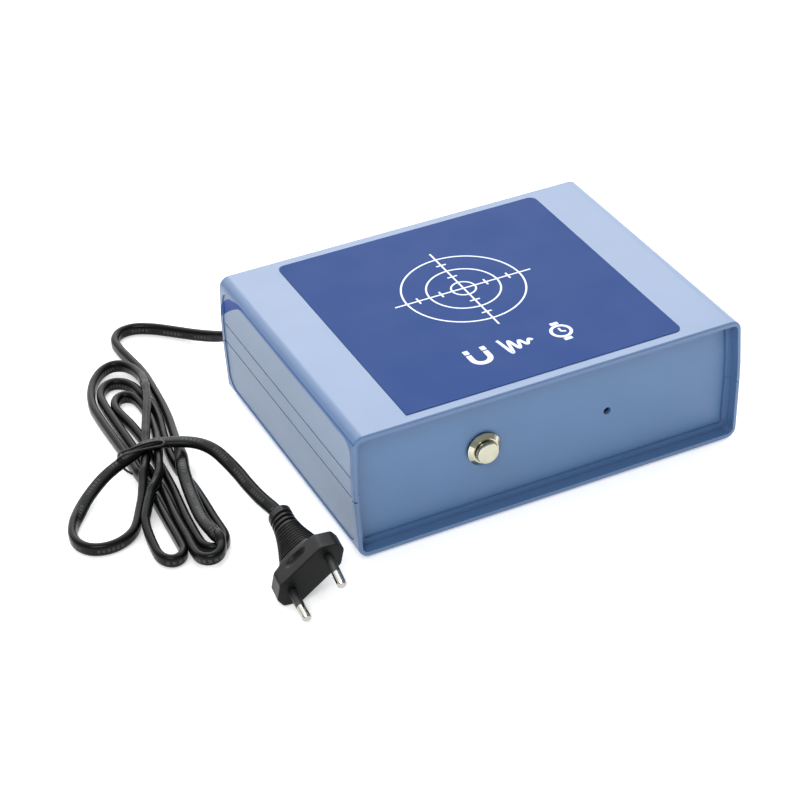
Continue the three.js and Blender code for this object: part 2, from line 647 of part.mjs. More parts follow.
function addCoil() {
  const half = CORE_WIDTH / 2;
  const window = half - CORE_SIDE_LEG;
  const leg = CORE_CENTRE_LEG / 2;
  const top = CORE_BOTTOM + CORE_HEIGHT;
  const yoke = CORE_BOTTOM + CORE_YOKE;
  const coreShape = polygon([
    [-half, CORE_BOTTOM], [half, CORE_BOTTOM], [half, top], [window, top], [window, yoke],
    [leg, yoke], [leg, top], [-leg, top], [-leg, yoke], [-window, yoke], [-window, top],
    [-half, top],
  ]);
  const stackHalf = CORE_STACK / 2;
  const core = alongY(coreShape, -stackHalf, stackHalf);
  addMesh('laminated_core', core, metal(0x6d6a66, 0.5)).position.set(CORE_X, CORE_Y, 0);

  // The bobbin slides over the centre leg: a square tube with a flange at each end.
  const gap = 0.4;
  const [boreX, boreY] = [leg + gap, stackHalf + gap];
  const [tubeX, tubeY] = [boreX + BOBBIN_WALL, boreY + BOBBIN_WALL];
  const [flangeX, flangeY] = [window - gap, stackHalf + 12.6];
  const low = yoke + gap;
  const high = top - 0.6;
  const bobbin = cut(
    join(
      solid(box(-tubeX, tubeX, -tubeY, tubeY, low, high)),
      solid(box(-flangeX, flangeX, -flangeY, flangeY, low, low + BOBBIN_WALL)),
      solid(box(-flangeX, flangeX, -flangeY, flangeY, high - BOBBIN_WALL, high)),
    ),
    solid(box(-boreX, boreX, -boreY, boreY, low - 1, high + 1)),
  );
  addMesh('coil_bobbin', toGeometry(bobbin), plastic(0xe6e2d4, 0.6))
    .position.set(CORE_X, CORE_Y, 0);

  const ring = (inX, inY, outX, outY, inset) => {
    const outer = solid(alongZ(
      roundedRectangle(2 * outX, 2 * outY, 5), low + BOBBIN_WALL + inset, high - BOBBIN_WALL - inset,
    ));
    const inner = solid(box(-inX, inX, -inY, inY, low, high));
    return cut(outer, inner);
  };
  const [copperX, copperY] = [flangeX - 1.6, flangeY - 1.6];
  const winding = ring(tubeX + 0.15, tubeY + 0.15, copperX, copperY, 0.2);
  addMesh('copper_winding', toGeometry(winding), metal(0xb36a3a, 0.35))
    .position.set(CORE_X, CORE_Y, 0);
  const tapeOuter = solid(alongZ(
    roundedRectangle(2 * copperX + 1.4, 2 * copperY + 1.4, 5.5),
    low + BOBBIN_WALL + 1, high - BOBBIN_WALL - 1,
  ));
  const tapeInner = solid(alongZ(
    roundedRectangle(2 * copperX + 0.4, 2 * copperY + 0.4, 5.2), low, high,
  ));
  addMesh('winding_tape', toGeometry(cut(tapeOuter, tapeInner)), plastic(0xd8b93a, 0.45))
    .position.set(CORE_X, CORE_Y, 0);

  // A steel strap under the yoke, with an upright beside each outer leg and a foot on each post.
  const strapTop = CORE_BOTTOM - 0.2;
  const strapBottom = strapTop - BRACKET_THICKNESS;
  const uprightIn = half + 0.3;
  const uprightOut = uprightIn + BRACKET_THICKNESS;
  const uprightTop = CORE_BOTTOM + 24;
  const strapShape = polygon([
    [-BRACKET_HALF_SPAN, strapBottom], [BRACKET_HALF_SPAN, strapBottom],
    [BRACKET_HALF_SPAN, strapTop], [uprightOut, strapTop], [uprightOut, uprightTop],
    [uprightIn, uprightTop], [uprightIn, strapTop], [-uprightIn, strapTop],
    [-uprightIn, uprightTop], [-uprightOut, uprightTop], [-uprightOut, strapTop],
    [-BRACKET_HALF_SPAN, strapTop],
  ]);
  const strap = cut(
    solid(alongY(strapShape, -BRACKET_WIDTH / 2, BRACKET_WIDTH / 2)),
    ...[-POST_X, POST_X].map((x) => solid(cylinderZ(1.8, 0, 20, x, 0, 16))),
  );
  addMesh('core_strap', toGeometry(strap), metal(STEEL, 0.4)).position.set(CORE_X, CORE_Y, 0);

  const strapScrew = toGeometry(panScrew(6.6, 3, 1.2));
  [-POST_X, POST_X].forEach((x, i) => {
    const screw = addMesh(`strap_screw_${i + 1}`, strapScrew, metal(STEEL, 0.35));
    screw.rotation.x = Math.PI;
    screw.position.set(CORE_X + x, CORE_Y, strapTop + SCREW_HEAD_HEIGHT + 0.1);
  });
}

// ---------- wires inside ----------

function addWires() {
  const section = circle(0.8, 6);
  const bladeBack = bushBack + 11 + 0.2 + 6;
  const along = (points) => tube(points.map((p) => new THREE.Vector3(...p)), section, 24);
  const switchZ = BUTTON_Z;
  const windingSide = CORE_X - CORE_WIDTH / 2;
  addMesh('live_wire', along([
    [EXIT_X + 1.2, WIRE_START_Y, EXIT_Z],
    [EXIT_X + 1.6, WIRE_START_Y - 1.8, EXIT_Z],
    [EXIT_X + 5, SCREW_Y + 8, EXIT_Z + 0.4],
    [EXIT_X + 10, SCREW_Y + 1.5, EXIT_Z + 2],
    [windingSide - 11, 26, EXIT_Z + 7],
    [windingSide - 10, 4, switchZ - 6],
    [BUTTON_X - 9, -14, switchZ - 1],
    [BUTTON_X - 2.6, bladeBack + 1, switchZ],
  ]), plastic(0x6b3f22, 0.5));
  addMesh('neutral_wire', along([
    [EXIT_X - 1.2, WIRE_START_Y, EXIT_Z],
    [EXIT_X - 1, WIRE_START_Y - 1.8, EXIT_Z + 0.6],
    [EXIT_X + 1.5, SCREW_Y + 8.6, EXIT_Z + 4.5],
    [EXIT_X + 14, SCREW_Y + 4, EXIT_Z + 16],
    [CORE_X - 30, 39, 40],
    [CORE_X - 14, CORE_Y + 27, 45],
  ]), plastic(0x2f5fa8, 0.5));
  addMesh('switched_wire', along([
    [BUTTON_X + 2.6, bladeBack + 1, switchZ],
    [BUTTON_X + 8, bladeBack + 7, switchZ + 6],
    [CORE_X - 8, CORE_Y - 30, 42],
    [CORE_X + 4, CORE_Y - 27, 45],
  ]), plastic(0x2b2b2d, 0.5));
}

// ---------- mains lead ----------

const RELIEF_NECK_RADIUS = 4.9;

// The flat cord's section: its width is the section's second axis.
const cordSection = (width, thickness) => {
  const [w, t] = [width / 2, thickness / 2];
  const flat = w - t;
  return polygon([
    [t, -flat], [t, flat], [0.6 * t, w - 0.25 * t], [-0.6 * t, w - 0.25 * t],
    [-t, flat], [-t, -flat], [-0.6 * t, -w + 0.25 * t], [0.6 * t, -w + 0.25 * t],
  ]);
};

// Moulded strain relief: it grips the rear panel in a groove and tapers along the cord.
function addStrainRelief() {
  const outside = -PANEL_FACE; // the rear panel's outer face
  const inside = -PANEL_BACK;
  const profile = [
    [0, RELIEF_INNER_Y],
    [6.4, RELIEF_INNER_Y],
    [6.4, inside - 0.15],
    [RELIEF_NECK_RADIUS, inside - 0.15],
    [RELIEF_NECK_RADIUS, outside + 0.15],
    [6.4, outside + 0.15],
    [6.4, outside + 1.6],
    [5, outside + 1.6],
    [3.9, RELIEF_TIP_Y],
    [0, RELIEF_TIP_Y],
  ];
  const bore = roundedRectangle(CORD_WIDTH + 0.6, CORD_THICKNESS + 0.6, 1.9);
  const relief = cut(
    solid(turnedY(profile, 24)),
    solid(alongY(bore, RELIEF_INNER_Y - 1, RELIEF_TIP_Y + 1)),
  );
  addMesh('cord_strain_relief', toGeometry(relief), plastic(CORD_BLACK, 0.6))
    .position.set(EXIT_X, 0, EXIT_Z);
}

// The lead's route from inside the rear panel to the hank, and from the hank to the plug.
const LEAD_ROUTE = [
  [EXIT_X, LEAD_INNER_Y, EXIT_Z],
  [EXIT_X, 66, EXIT_Z],
  [EXIT_X, RELIEF_TIP_Y, EXIT_Z],
  [-66.4, 84, 12.4],
  [-68.6, 90, 9.4],
  [-73, 96.5, 6.2],
  [-79.5, 105.5, 3.9],
  [-87.5, 115.2, 2.9],
  [-95, 122.2, 2.8],
  [-102, 125.8, 2.8],
  [-108.3, 125, 2.8],
  [-112.2, 120, 2.8],
  [-112.9, 113, 3],
  [-112.9, 106.4, 3.4],
];
const TAIL_ROUTE = [
  [-110.4, 23.7, 11],
  [-109.1, 22.4, 10.9],
  [-107.4, 17.5, 10.6],
  [-106.4, 10.5, 10.1],
  [-105.5, 2, 9.5],
  [-104.9, -6, 9.1],
  [-104.4, -14, 9],
  [-103.7, -21, 9.2],
  [-102.8, -27, 9.6],
  [-101.75, -32, 9.9],
];

// A free stretch of the cord. Its ends stay a small gap from what they meet.
function cordTube(route) {
  const points = route.map((p) => new THREE.Vector3(...p));
  const section = cordSection(CORD_WIDTH, CORD_THICKNESS);
  return tube(points, section, 2 * (route.length - 1));
}

// The hank's outer shape in plan: two fans of loops with a waist where the cord is wrapped.
function hankSolid() {
  const outline = new THREE.Shape();
  outline.moveTo(-108, 106);
  outline.lineTo(-118, 106);
  outline.splineThru([
    [-128, 101], [-137, 88], [-141.5, 70], [-141.5, 52], [-144, 40], [-157, 27], [-171, 8],
    [-176.5, -8], [-171, -18], [-158, -21], [-150, -33], [-143, -38], [-136, -43], [-131, -45],
    [-125.5, -41], [-121.5, -30], [-118.5, -10], [-115.5, 8],
  ].map(([x, y]) => new THREE.Vector2(x, y)));
  outline.lineTo(-113.1, 21.3);
  outline.lineTo(-107.7, 28.5);
  outline.lineTo(-106.5, 31);
  outline.lineTo(-106.5, 104.5);
  outline.lineTo(-108, 106);
  return alongZ(outline, HANK_BOTTOM, HANK_TOP, 2);
}

const HANK_BOTTOM = 0.3;
const HANK_TOP = 14;

function addCord() {
  const black = plastic(CORD_BLACK, 0.45);
  addStrainRelief();
  addMesh('cord_lead', cordTube(LEAD_ROUTE), black);
  addMesh('cord_hank', hankSolid(), black);
  addMesh('cord_tail', cordTube(TAIL_ROUTE), black);
}

// ---------- plug ----------

// Built with its front face at y = 0, its pins towards -Y and its width along X.
function addPlug() {
  const [w, h] = [PLUG_WIDTH / 2, PLUG_HEIGHT / 2];
  const [flat, side] = [PLUG_FLAT_WIDTH / 2, PLUG_SIDE_HEIGHT / 2];
  const face = polygon([
    [-w, -side], [-flat, -h], [flat, -h], [w, -side], [w, side], [flat, h], [-flat, h], [-w, side],
  ]);
  const slab = solid(alongY(face, 0, PLUG_SLAB));
  const flare = turnedY([
    [0, PLUG_SLAB - 3],
    [9, PLUG_SLAB - 3],
    [8.8, PLUG_SLAB + 1],
    [8, PLUG_SLAB + 6],
    [6.8, PLUG_SLAB + 13],
    [5.5, PLUG_SLAB + 19],
    [4.8, PLUG_LENGTH],
    [0, PLUG_LENGTH],
  ], 20);
  const flareHeight = 0.65; // the flare is oval: as high as the slab at its root
  const body = join(slab, solid(flare.scale(1, 1, flareHeight)));
  const seats = [-1, 1].map((s) =>
    solid(turnedY([[0, -1], [PIN_RADIUS + 0.3, -1], [PIN_RADIUS + 0.3, 3], [0, 3]], 16)
      .translate((s * PIN_SPACING) / 2, 0, 0)));
  const plug = new THREE.Group();
  addMesh('plug_body', toGeometry(cut(body, ...seats)), plastic(CORD_BLACK, 0.6), plug);

  const bright = metal(0xd7d5c8, 0.2);
  const root = 2.6; // how far a pin reaches into the body
  [-1, 1].forEach((s, i) => {
    const pin = turnedY([
      [0, -PIN_LENGTH],
      [PIN_RADIUS - 0.7, -PIN_LENGTH],
      [PIN_RADIUS, -PIN_LENGTH + 0.8],
      [PIN_RADIUS, -SLEEVE_LENGTH],
      [SLEEVE_RADIUS - 0.6, -SLEEVE_LENGTH],
      [SLEEVE_RADIUS - 0.6, root],
      [0, root],
    ], 20);
    const socket = new THREE.Group();
    socket.position.set((s * PIN_SPACING) / 2, 0, 0);
    socket.rotation.z = -s * THREE.MathUtils.degToRad(PIN_TOE_IN);
    plug.add(socket);
    addMesh(`plug_pin_${i + 1}`, pin, bright, socket);
    const sleeve = turnedY([
      [SLEEVE_RADIUS - 0.4, -SLEEVE_LENGTH + 0.2],
      [SLEEVE_RADIUS, -SLEEVE_LENGTH + 0.2],
      [SLEEVE_RADIUS, root],
      [SLEEVE_RADIUS - 0.4, root],
      [SLEEVE_RADIUS - 0.4, -SLEEVE_LENGTH + 0.2],
    ], 20);
    addMesh(`pin_sleeve_${i + 1}`, sleeve, plastic(CORD_BLACK, 0.5), socket);
  });
  plug.rotation.order = 'ZXY';
  plug.rotation.z = THREE.MathUtils.degToRad(PLUG_YAW);
  plug.rotation.x = THREE.MathUtils.degToRad(PLUG_PITCH);
  plug.rotation.y = THREE.MathUtils.degToRad(-PLUG_ROLL);
  plug.position.set(...PLUG_POSITION);
  group.add(plug);
}

addCase();
addFeetAndScrews();
addButton();
addIndicator();
addCoil();
addWires();
addCord();
addPlug();

export default group;
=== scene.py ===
"""Looks of a watch demagnetizer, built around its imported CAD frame.

The origin is on the floor under the middle of the case, +Z is up and the front faces -Y.
Lengths are in metres. A value that is easier to read in millimetres is multiplied by MM.
"""

import math

import bmesh
import bpy
import numpy as np
from mathutils import Matrix, Vector


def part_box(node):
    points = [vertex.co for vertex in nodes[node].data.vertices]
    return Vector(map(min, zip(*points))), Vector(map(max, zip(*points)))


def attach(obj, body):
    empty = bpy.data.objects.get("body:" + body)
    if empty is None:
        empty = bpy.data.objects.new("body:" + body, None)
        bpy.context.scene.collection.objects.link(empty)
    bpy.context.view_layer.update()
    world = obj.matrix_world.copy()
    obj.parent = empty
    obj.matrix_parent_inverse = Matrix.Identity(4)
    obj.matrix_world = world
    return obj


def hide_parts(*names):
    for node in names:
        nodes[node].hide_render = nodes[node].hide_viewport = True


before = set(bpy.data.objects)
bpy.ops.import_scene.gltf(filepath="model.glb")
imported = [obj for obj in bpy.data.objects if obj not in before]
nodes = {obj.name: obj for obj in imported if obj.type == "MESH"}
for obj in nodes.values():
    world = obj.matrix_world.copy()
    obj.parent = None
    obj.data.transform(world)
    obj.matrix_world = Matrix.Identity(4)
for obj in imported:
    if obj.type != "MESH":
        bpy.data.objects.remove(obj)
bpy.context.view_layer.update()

MM = 0.001


# ---------- camera ----------

CAMERA_TARGET = Vector((-0.0357, -0.0038, 0.0213))
CAMERA_DISTANCE = 0.9
CAMERA_AZIMUTH = math.radians(-24.41)
CAMERA_ELEVATION = math.radians(34.33)
CAMERA_ROLL = math.radians(-2.62)
CAMERA_LENS = 102.66  # millimetres, on a sensor of this width
CAMERA_SENSOR = 36


def add_camera():
    """The camera looks at its target from a direction given by an azimuth and an elevation."""
    level = math.cos(CAMERA_ELEVATION)
    back = Vector((
        math.sin(CAMERA_AZIMUTH) * level,
        -math.cos(CAMERA_AZIMUTH) * level,
        math.sin(CAMERA_ELEVATION),
    ))
    right = Vector((0, 0, 1)).cross(back).normalized()
    up = back.cross(right)
    turned_right = right * math.cos(CAMERA_ROLL) + up * math.sin(CAMERA_ROLL)
    turned_up = back.cross(turned_right)
    data = bpy.data.cameras.new("camera")
    data.lens = CAMERA_LENS
    data.sensor_width = CAMERA_SENSOR
    camera = bpy.data.objects.new("camera", data)
    axes = Matrix((turned_right, turned_up, back)).transposed().to_4x4()
    camera.matrix_world = Matrix.Translation(CAMERA_TARGET + back * CAMERA_DISTANCE) @ axes
    bpy.context.scene.collection.objects.link(camera)
    bpy.context.scene.camera = camera


add_camera()


# ---------- mesh helpers ----------

def add_object(name, mesh):
    obj = bpy.data.objects.new(name, mesh)
    bpy.context.scene.collection.objects.link(obj)
    return obj


def mesh_object(name, points, faces, sharp_degrees=40.0):
    """A mesh with smooth shading, apart from its edges that are sharper than an angle."""
    mesh = bpy.data.meshes.new(name)
    mesh.from_pydata([tuple(p) for p in points], [], faces)
    mesh.validate()
    mesh.update()
    mesh.shade_smooth()
    mesh.set_sharp_from_angle(angle=math.radians(sharp_degrees))
    return add_object(name, mesh)


def loft(name, rings, sharp_degrees=40.0):
    """A closed skin over rings that all have the same number of points."""
    count = len(rings[0])
    points = [p for ring in rings for p in ring]
    faces = []
    for i in range(len(rings) - 1):
        here = i * count
        there = here + count
        for k in range(count):
            nxt = (k + 1) % count
            faces.append((here + k, here + nxt, there + nxt, there + k))
    faces.append(tuple(reversed(range(count))))
    faces.append(tuple(range((len(rings) - 1) * count, len(rings) * count)))
    return mesh_object(name, points, faces, sharp_degrees)


CENTRIPETAL = 0.5  # the power of the distance between way points that spaces a curve's knots
CURVE_POINTS = 24  # worked out between two way points, before the curve is spaced evenly


def smooth_curve(points, step):
    """Evenly spaced points along a centripetal Catmull-Rom curve through the way points."""
    way = np.array(points, float)
    way = np.vstack([2 * way[0] - way[1], way, 2 * way[-1] - way[-2]])
    fine = []
    for i in range(1, len(way) - 2):
        p = way[i - 1:i + 3]
        knots = np.r_[0, np.cumsum(np.linalg.norm(np.diff(p, axis=0), axis=1) ** CENTRIPETAL)]
        span = np.linspace(knots[1], knots[2], CURVE_POINTS, endpoint=False)[:, None]

        def between(a, b, left, right):
            return ((right - span) * a + (span - left) * b) / (right - left)

        a1 = between(p[0], p[1], knots[0], knots[1])
        a2 = between(p[1], p[2], knots[1], knots[2])
        a3 = between(p[2], p[3], knots[2], knots[3])
        b1 = between(a1, a2, knots[0], knots[2])
        b2 = between(a2, a3, knots[1], knots[3])
        fine.append(between(b1, b2, knots[1], knots[2]))
    fine.append(way[-2:-1])
    curve = np.vstack(fine)
    along = np.r_[0, np.cumsum(np.linalg.norm(np.diff(curve, axis=0), axis=1))]
    count = int(round(along[-1] / step))
    even = np.linspace(0, along[-1], count + 1)
    return np.array([np.interp(even, along, curve[:, k]) for k in range(3)]).T


# ---------- cord ----------

# A flat twin cord. The route is in millimetres, as in the CAD source.
CORD_WIDTH = 5.4
CORD_THICKNESS = 3.4
EXIT = (-66, 78, 14)  # the strain relief's tip
RELIEF_DEPTH = 6  # how far inside its strain relief the modelled cord starts

# The lead: out of the strain relief, down to the floor and round to the hank.
LEAD = [
    (-66, EXIT[1] - RELIEF_DEPTH, 14), EXIT, (-66.4, 84, 12.4), (-68.6, 90, 9.4), (-73, 96.5, 6.2),
    (-79.5, 105.5, 3.9), (-87.5, 115.2, 2.9), (-95, 122.2, 2.8), (-102, 125.8, 2.8),
    (-108.3, 125, 2.8), (-112.2, 120, 2.8), (-112.6, 112.5, 3.4), (-111.6, 103, 6),
]

# The hank's loop ends: centre, half size across and along, direction of the tip, first and
# last angle of the turn in degrees, and the heights where it starts, at its tip and where it ends.
LOOP_ENDS = [
    ((-131.6, -36.0), 4.9, 6.4, -96, 90, -85, (6, 3, 3)),
    ((-124.9, 77.5), 7.9, 12.2, 89, 95, -85, (3, 3, 3)),
    ((-127.0, -28.2), 4.9, 6.4, -97, 85, -90, (3, 3, 3)),
    ((-123.9, 70.3), 5.5, 8.0, 89, 95, -90, (3, 3, 3)),
    ((-143.6, -26.5), 5.1, 7.2, -93, -95, 95, (4, 3, 3)),
    ((-125.5, 79.0), 11.2, 22.5, 75, 125, -70, (3, 3, 5)),
]

# The straighter runs through the hank's waist, before the first loop end and after each.
WAIST_RUNS = [
    [(-110.6, 92, 8.4), (-111.1, 74, 7), (-112.6, 57, 3.5), (-115.8, 40, 3), (-118.4, 28, 3),
     (-122.2, 14, 7.2), (-124.2, 4, 7.4), (-126, -8, 7.4), (-127.2, -20, 7.4)],
    [(-134.8, -12, 3), (-132.8, 10, 3), (-132.6, 34, 3), (-132.9, 58, 3)],
    [(-116.1, 62, 3), (-119.6, 42, 3), (-121.7, 26, 3), (-121.2, 2, 3), (-121.8, -17, 3)],
    [(-131, -12, 3), (-128.6, 10, 3), (-127, 36, 3), (-127.8, 56, 3)],
    [(-119.3, 58, 3.6), (-122.4, 43, 8), (-127, 29, 8.6), (-132.6, 13.5, 8.6), (-140, 3.4, 8.6),
     (-146.4, -8, 7)],
    [(-138.1, -12, 3), (-137.5, 10, 3), (-137.2, 36, 3)],
    [(-118, 64.5, 8.6), (-126.2, 44, 8.6), (-132.8, 27, 8.6), (-138.4, 14, 7.4), (-143.2, 3, 3.4),
     (-147.8, -5.2, 3), (-152.4, -11, 3), (-158.4, -14, 3), (-164.7, -14.2, 3),
     (-170, -11.7, 3), (-173, -6.6, 3), (-173, -0.6, 3), (-170.6, 4.8, 3), (-166.8, 9.9, 3.2),
     (-160.5, 16.8, 4.6), (-150.6, 23.7, 9.6), (-140.5, 26.8, 13), (-128, 28.6, 13),
     (-119.6, 26.2, 13)],
]
WRAP_CROSSING = (-128, 28.6, 13)  # where the cord's end lies flat across the waist
LAID_OVER = ((-120, 20, 5), (-127.2, -26, 7))  # from here to here the first run lies flat on top

# The tail: off the hank, along the floor and up into the plug.
TAIL = [
    (-114.2, 23, 12.7), (-110.8, 19.2, 11.8), (-108.2, 13.9, 10.8), (-106.5, 6.6, 9.9),
    (-105.3, -2.2, 9.2), (-104.7, -12.4, 9), (-103.9, -22, 9.3), (-102.6, -31, 9.8),
    (-102.1, -36.5, 9.95),
]

LOOP_WAY_POINT = 26  # degrees between two way points round a loop's end


def loop_end(centre, across, along, tip, first, last, heights):
    """Way points round one end of a loop, which is a part of an ellipse."""
    steps = max(5, round(abs(last - first) / LOOP_WAY_POINT))
    tip = math.radians(tip)
    points = []
    for k in range(steps + 1):
        share = k / steps
        angle = math.radians(first + (last - first) * share)
        forward = along * math.cos(angle)
        side = across * math.sin(angle)
        points.append((
            centre[0] + forward * math.cos(tip) - side * math.sin(tip),
            centre[1] + forward * math.sin(tip) + side * math.cos(tip),
            float(np.interp(share, (0, 0.5, 1), heights)),
        ))
    return points


def cord_way_points():
    """The whole route: the lead, the runs and loop ends in turn, and the tail."""
    points = LEAD + WAIST_RUNS[0]
    for turn, run in zip(LOOP_ENDS, WAIST_RUNS[1:]):
        points = points + loop_end(*turn) + run
    return points + TAIL


PLUG_TURN = math.radians(38.1)  # the plug's roll, which turns the cord's flat side at its end
CORD_STEP = 2.0
TWIST_WINDOW = 9  # steps over which a change between edge and flat is smoothed


def nearest_along(points, target):
    """The distance along the cord to its point nearest to the target."""
    return CORD_STEP * int(np.argmin(np.linalg.norm(points - np.array(target), axis=1)))


def cord_flatness(points):
    """How far the cord is turned from standing on its edge, 0, to lying flat, 1."""
    along = np.arange(len(points)) * CORD_STEP
    crossing = nearest_along(points, WRAP_CROSSING)
    at_plug = 1 - PLUG_TURN / (math.pi / 2)
    over_start, over_end = (nearest_along(points, place) for place in LAID_OVER)
    turns = (  # distance along the cord, and how flat it lies there
        (0, 1), (9, 1), (31, 0),
        (over_start - 14, 0), (over_start, 1), (over_end, 1), (over_end + 10, 0),
        (crossing - 54, 0), (crossing - 40, 1), (crossing + 12, 1), (crossing + 50, at_plug),
    )
    rough = np.interp(along, *zip(*turns))
    window = np.hanning(TWIST_WINDOW) / np.hanning(TWIST_WINDOW).sum()
    return np.convolve(np.pad(rough, TWIST_WINDOW // 2, mode="edge"), window, mode="valid")


SETTLE_STEPS = 600
SETTLE_LAST = 480  # from this step on the cord sinks more slowly
FALL = 0.06
LAST_FALL = 0.02
LIFT = 0.3  # how fast a held point goes back to its own height
PULL = 0.05  # how fast a point goes back to its place in plan, and how much faster when held
HELD_PULL = 0.25
STIFFNESS = 0.3
GAP = 0.1  # between two parts of the cord that touch
LOOK_AHEAD = 3  # pairs of points nearer than this are watched for a few steps
LOOK_EVERY = 8
END_POINTS = 4  # at each end of the cord, which don't move
APART = 2.2  # two points nearer than so many widths along the cord never push each other


def settle(points, flat, hold):
    """Lets the cord sink onto the floor and onto itself at its full length.

    Every point is pulled down and towards its place in plan, and where two parts of the cord
    would share a space they are pushed apart. hold is 1 where a point also keeps its height.
    """
    target = points.copy()
    place = points.copy()
    count = len(place)
    half_wide = CORD_THICKNESS / 2 + flat * (CORD_WIDTH - CORD_THICKNESS) / 2
    half_high = CORD_WIDTH / 2 - flat * (CORD_WIDTH - CORD_THICKNESS) / 2
    first, second = np.triu_indices(count, k=math.ceil(APART * CORD_WIDTH / CORD_STEP))
    reach_side = half_wide[first] + half_wide[second] + GAP
    reach_up = half_high[first] + half_high[second] + GAP
    free = np.ones(count, bool)
    free[:END_POINTS] = False
    free[-END_POINTS:] = False
    for step in range(SETTLE_STEPS):
        fall = FALL if step < SETTLE_LAST else LAST_FALL
        place[free, 2] -= fall * (1 - hold[free])
        place[free, 2] += LIFT * hold[free] * (target[free, 2] - place[free, 2])
        pull = PULL + HELD_PULL * hold[free, None]
        place[free, :2] += pull * (target[free, :2] - place[free, :2])
        for k in (1, 3):
            bend(place, target, k, free)
        if step % LOOK_EVERY == 0:
            gap = np.abs(place[first] - place[second])
            beside = (gap[:, :2] < reach_side[:, None] + LOOK_AHEAD).all(axis=1)
            near = np.nonzero(beside & (gap[:, 2] < reach_up + LOOK_AHEAD))[0]
        for _ in range(2):
            push_apart(place, first[near], second[near], reach_side[near], reach_up[near], free)
            keep_length(place, free)
            place[free, 2] = np.maximum(place[free, 2], half_high[free])
    return place


def bend(place, target, k, free):
    """Stiffness: in plan it smooths how far the cord has moved, and in height the cord itself."""
    moved = place - target
    change = np.zeros_like(place)
    middle = slice(k, -k)
    change[middle, :2] = (moved[:-2 * k, :2] + moved[2 * k:, :2]) / 2 - moved[middle, :2]
    change[middle, 2] = (place[:-2 * k, 2] + place[2 * k:, 2]) / 2 - place[middle, 2]
    change[~free] = 0
    place += STIFFNESS * change


def push_apart(place, first, second, reach_side, reach_up, free):
    """Pushes apart the pairs of points whose oval sections overlap, by a step of 1 at most."""
    gap = place[first] - place[second]
    level = (gap[:, 0] ** 2 + gap[:, 1] ** 2) / reach_side ** 2
    size = np.sqrt(level + gap[:, 2] ** 2 / reach_up ** 2)
    hit = size < 1
    if not hit.any():
        return
    first, second, gap, size = first[hit], second[hit], gap[hit], size[hit]
    scale = np.stack([reach_side[hit], reach_side[hit], reach_up[hit]], axis=1)
    away = gap / scale ** 2
    away /= np.maximum(np.linalg.norm(away, axis=1), 1e-9)[:, None]
    depth = (1 - size) * np.linalg.norm(gap, axis=1) / np.maximum(size, 0.2)
    push = away * (0.5 * np.minimum(depth, 1.0))[:, None]
    change = np.zeros_like(place)
    hits = np.zeros(len(place))
    np.add.at(change, first, push)
    np.add.at(change, second, -push)
    np.add.at(hits, first, 1)
    np.add.at(hits, second, 1)
    change /= np.sqrt(np.maximum(hits, 1))[:, None]
    change[~free] = 0
    place += change


def keep_length(place, free):
    """Brings each step along the cord back to its length, every second one at a time."""
    for start in (0, 1, 0, 1):
        here = np.arange(start, len(place) - 1, 2)
        gap = place[here + 1] - place[here]
        length = np.linalg.norm(gap, axis=1)
        change = gap * ((length - CORD_STEP) / length / 2)[:, None]
        place[here] += change * free[here][:, None]
        place[here + 1] -= change * free[here + 1][:, None]


def stadium(half_width, half_thickness, per_end=11):
    """The cord's oval section, as pairs across its width and its thickness."""
    flat = half_width - half_thickness
    section = []
    for end in (1, -1):
        for k in range(per_end):
            angle = math.pi * (k / (per_end - 1) - 0.5)
            section.append((
                end * (flat + half_thickness * math.cos(angle)),
                end * half_thickness * math.sin(angle),
            ))
        section.append((0, end * half_thickness))
    return section


def sweep(name, path, wide_axes, section):
    """A tube along the path. A section's first number runs along the path's wide axis.

    Its "lay" attribute holds each point's distance along, across and out from the middle.
    """
    tangents = np.gradient(path, axis=0)
    tangents /= np.linalg.norm(tangents, axis=1)[:, None]
    along = np.r_[0, np.cumsum(np.linalg.norm(np.diff(path, axis=0), axis=1))]
    rings = []
    lay = []
    for point, tangent, wide, distance in zip(path, tangents, wide_axes, along):
        wide = wide - tangent * wide.dot(tangent)
        wide = wide / np.linalg.norm(wide)
        thin = np.cross(tangent, wide)
        rings.append([point + wide * w + thin * t for w, t in section])
        lay += [(distance, w, t) for w, t in section]
    tube = loft(name, rings)
    places = tube.data.attributes.new("lay", "FLOAT_VECTOR", "POINT")
    places.data.foreach_set("vector", np.array(lay, np.float32).ravel())
    return tube


LEAD_RELEASE = 20  # lengths over which the lead and the tail pass from held to loose
TAIL_RELEASE = 16


def make_cord():
    """The whole visible cord, from inside the strain relief to inside the plug's neck."""
    start = smooth_curve(cord_way_points(), CORD_STEP)
    flat = cord_flatness(start)
    along = np.arange(len(start)) * CORD_STEP
    in_lead = np.clip((nearest_along(start, LEAD[-2]) - along) / LEAD_RELEASE, 0, 1)
    in_tail = np.clip((along - nearest_along(start, TAIL[0])) / TAIL_RELEASE, 0, 1)
    settled = settle(start, flat, np.maximum(in_lead, in_tail))
    path = smooth_curve(settled, CORD_STEP / 2)
    turn = np.interp(np.linspace(0, 1, len(path)), np.linspace(0, 1, len(flat)), flat) * math.pi / 2
    tangents = np.gradient(path, axis=0)
    level = np.cross(tangents, (0, 0, 1))
    level /= np.linalg.norm(level, axis=1)[:, None]
    wide = np.outer(np.cos(turn), (0, 0, 1)) - level * np.sin(turn)[:, None]
    section = stadium(CORD_WIDTH / 2, CORD_THICKNESS / 2)
    cord = sweep("mains_cord", path * MM, wide, np.array(section) * MM)
    return cord, path * MM


cord, cord_path = make_cord()


# ---------- plug ----------

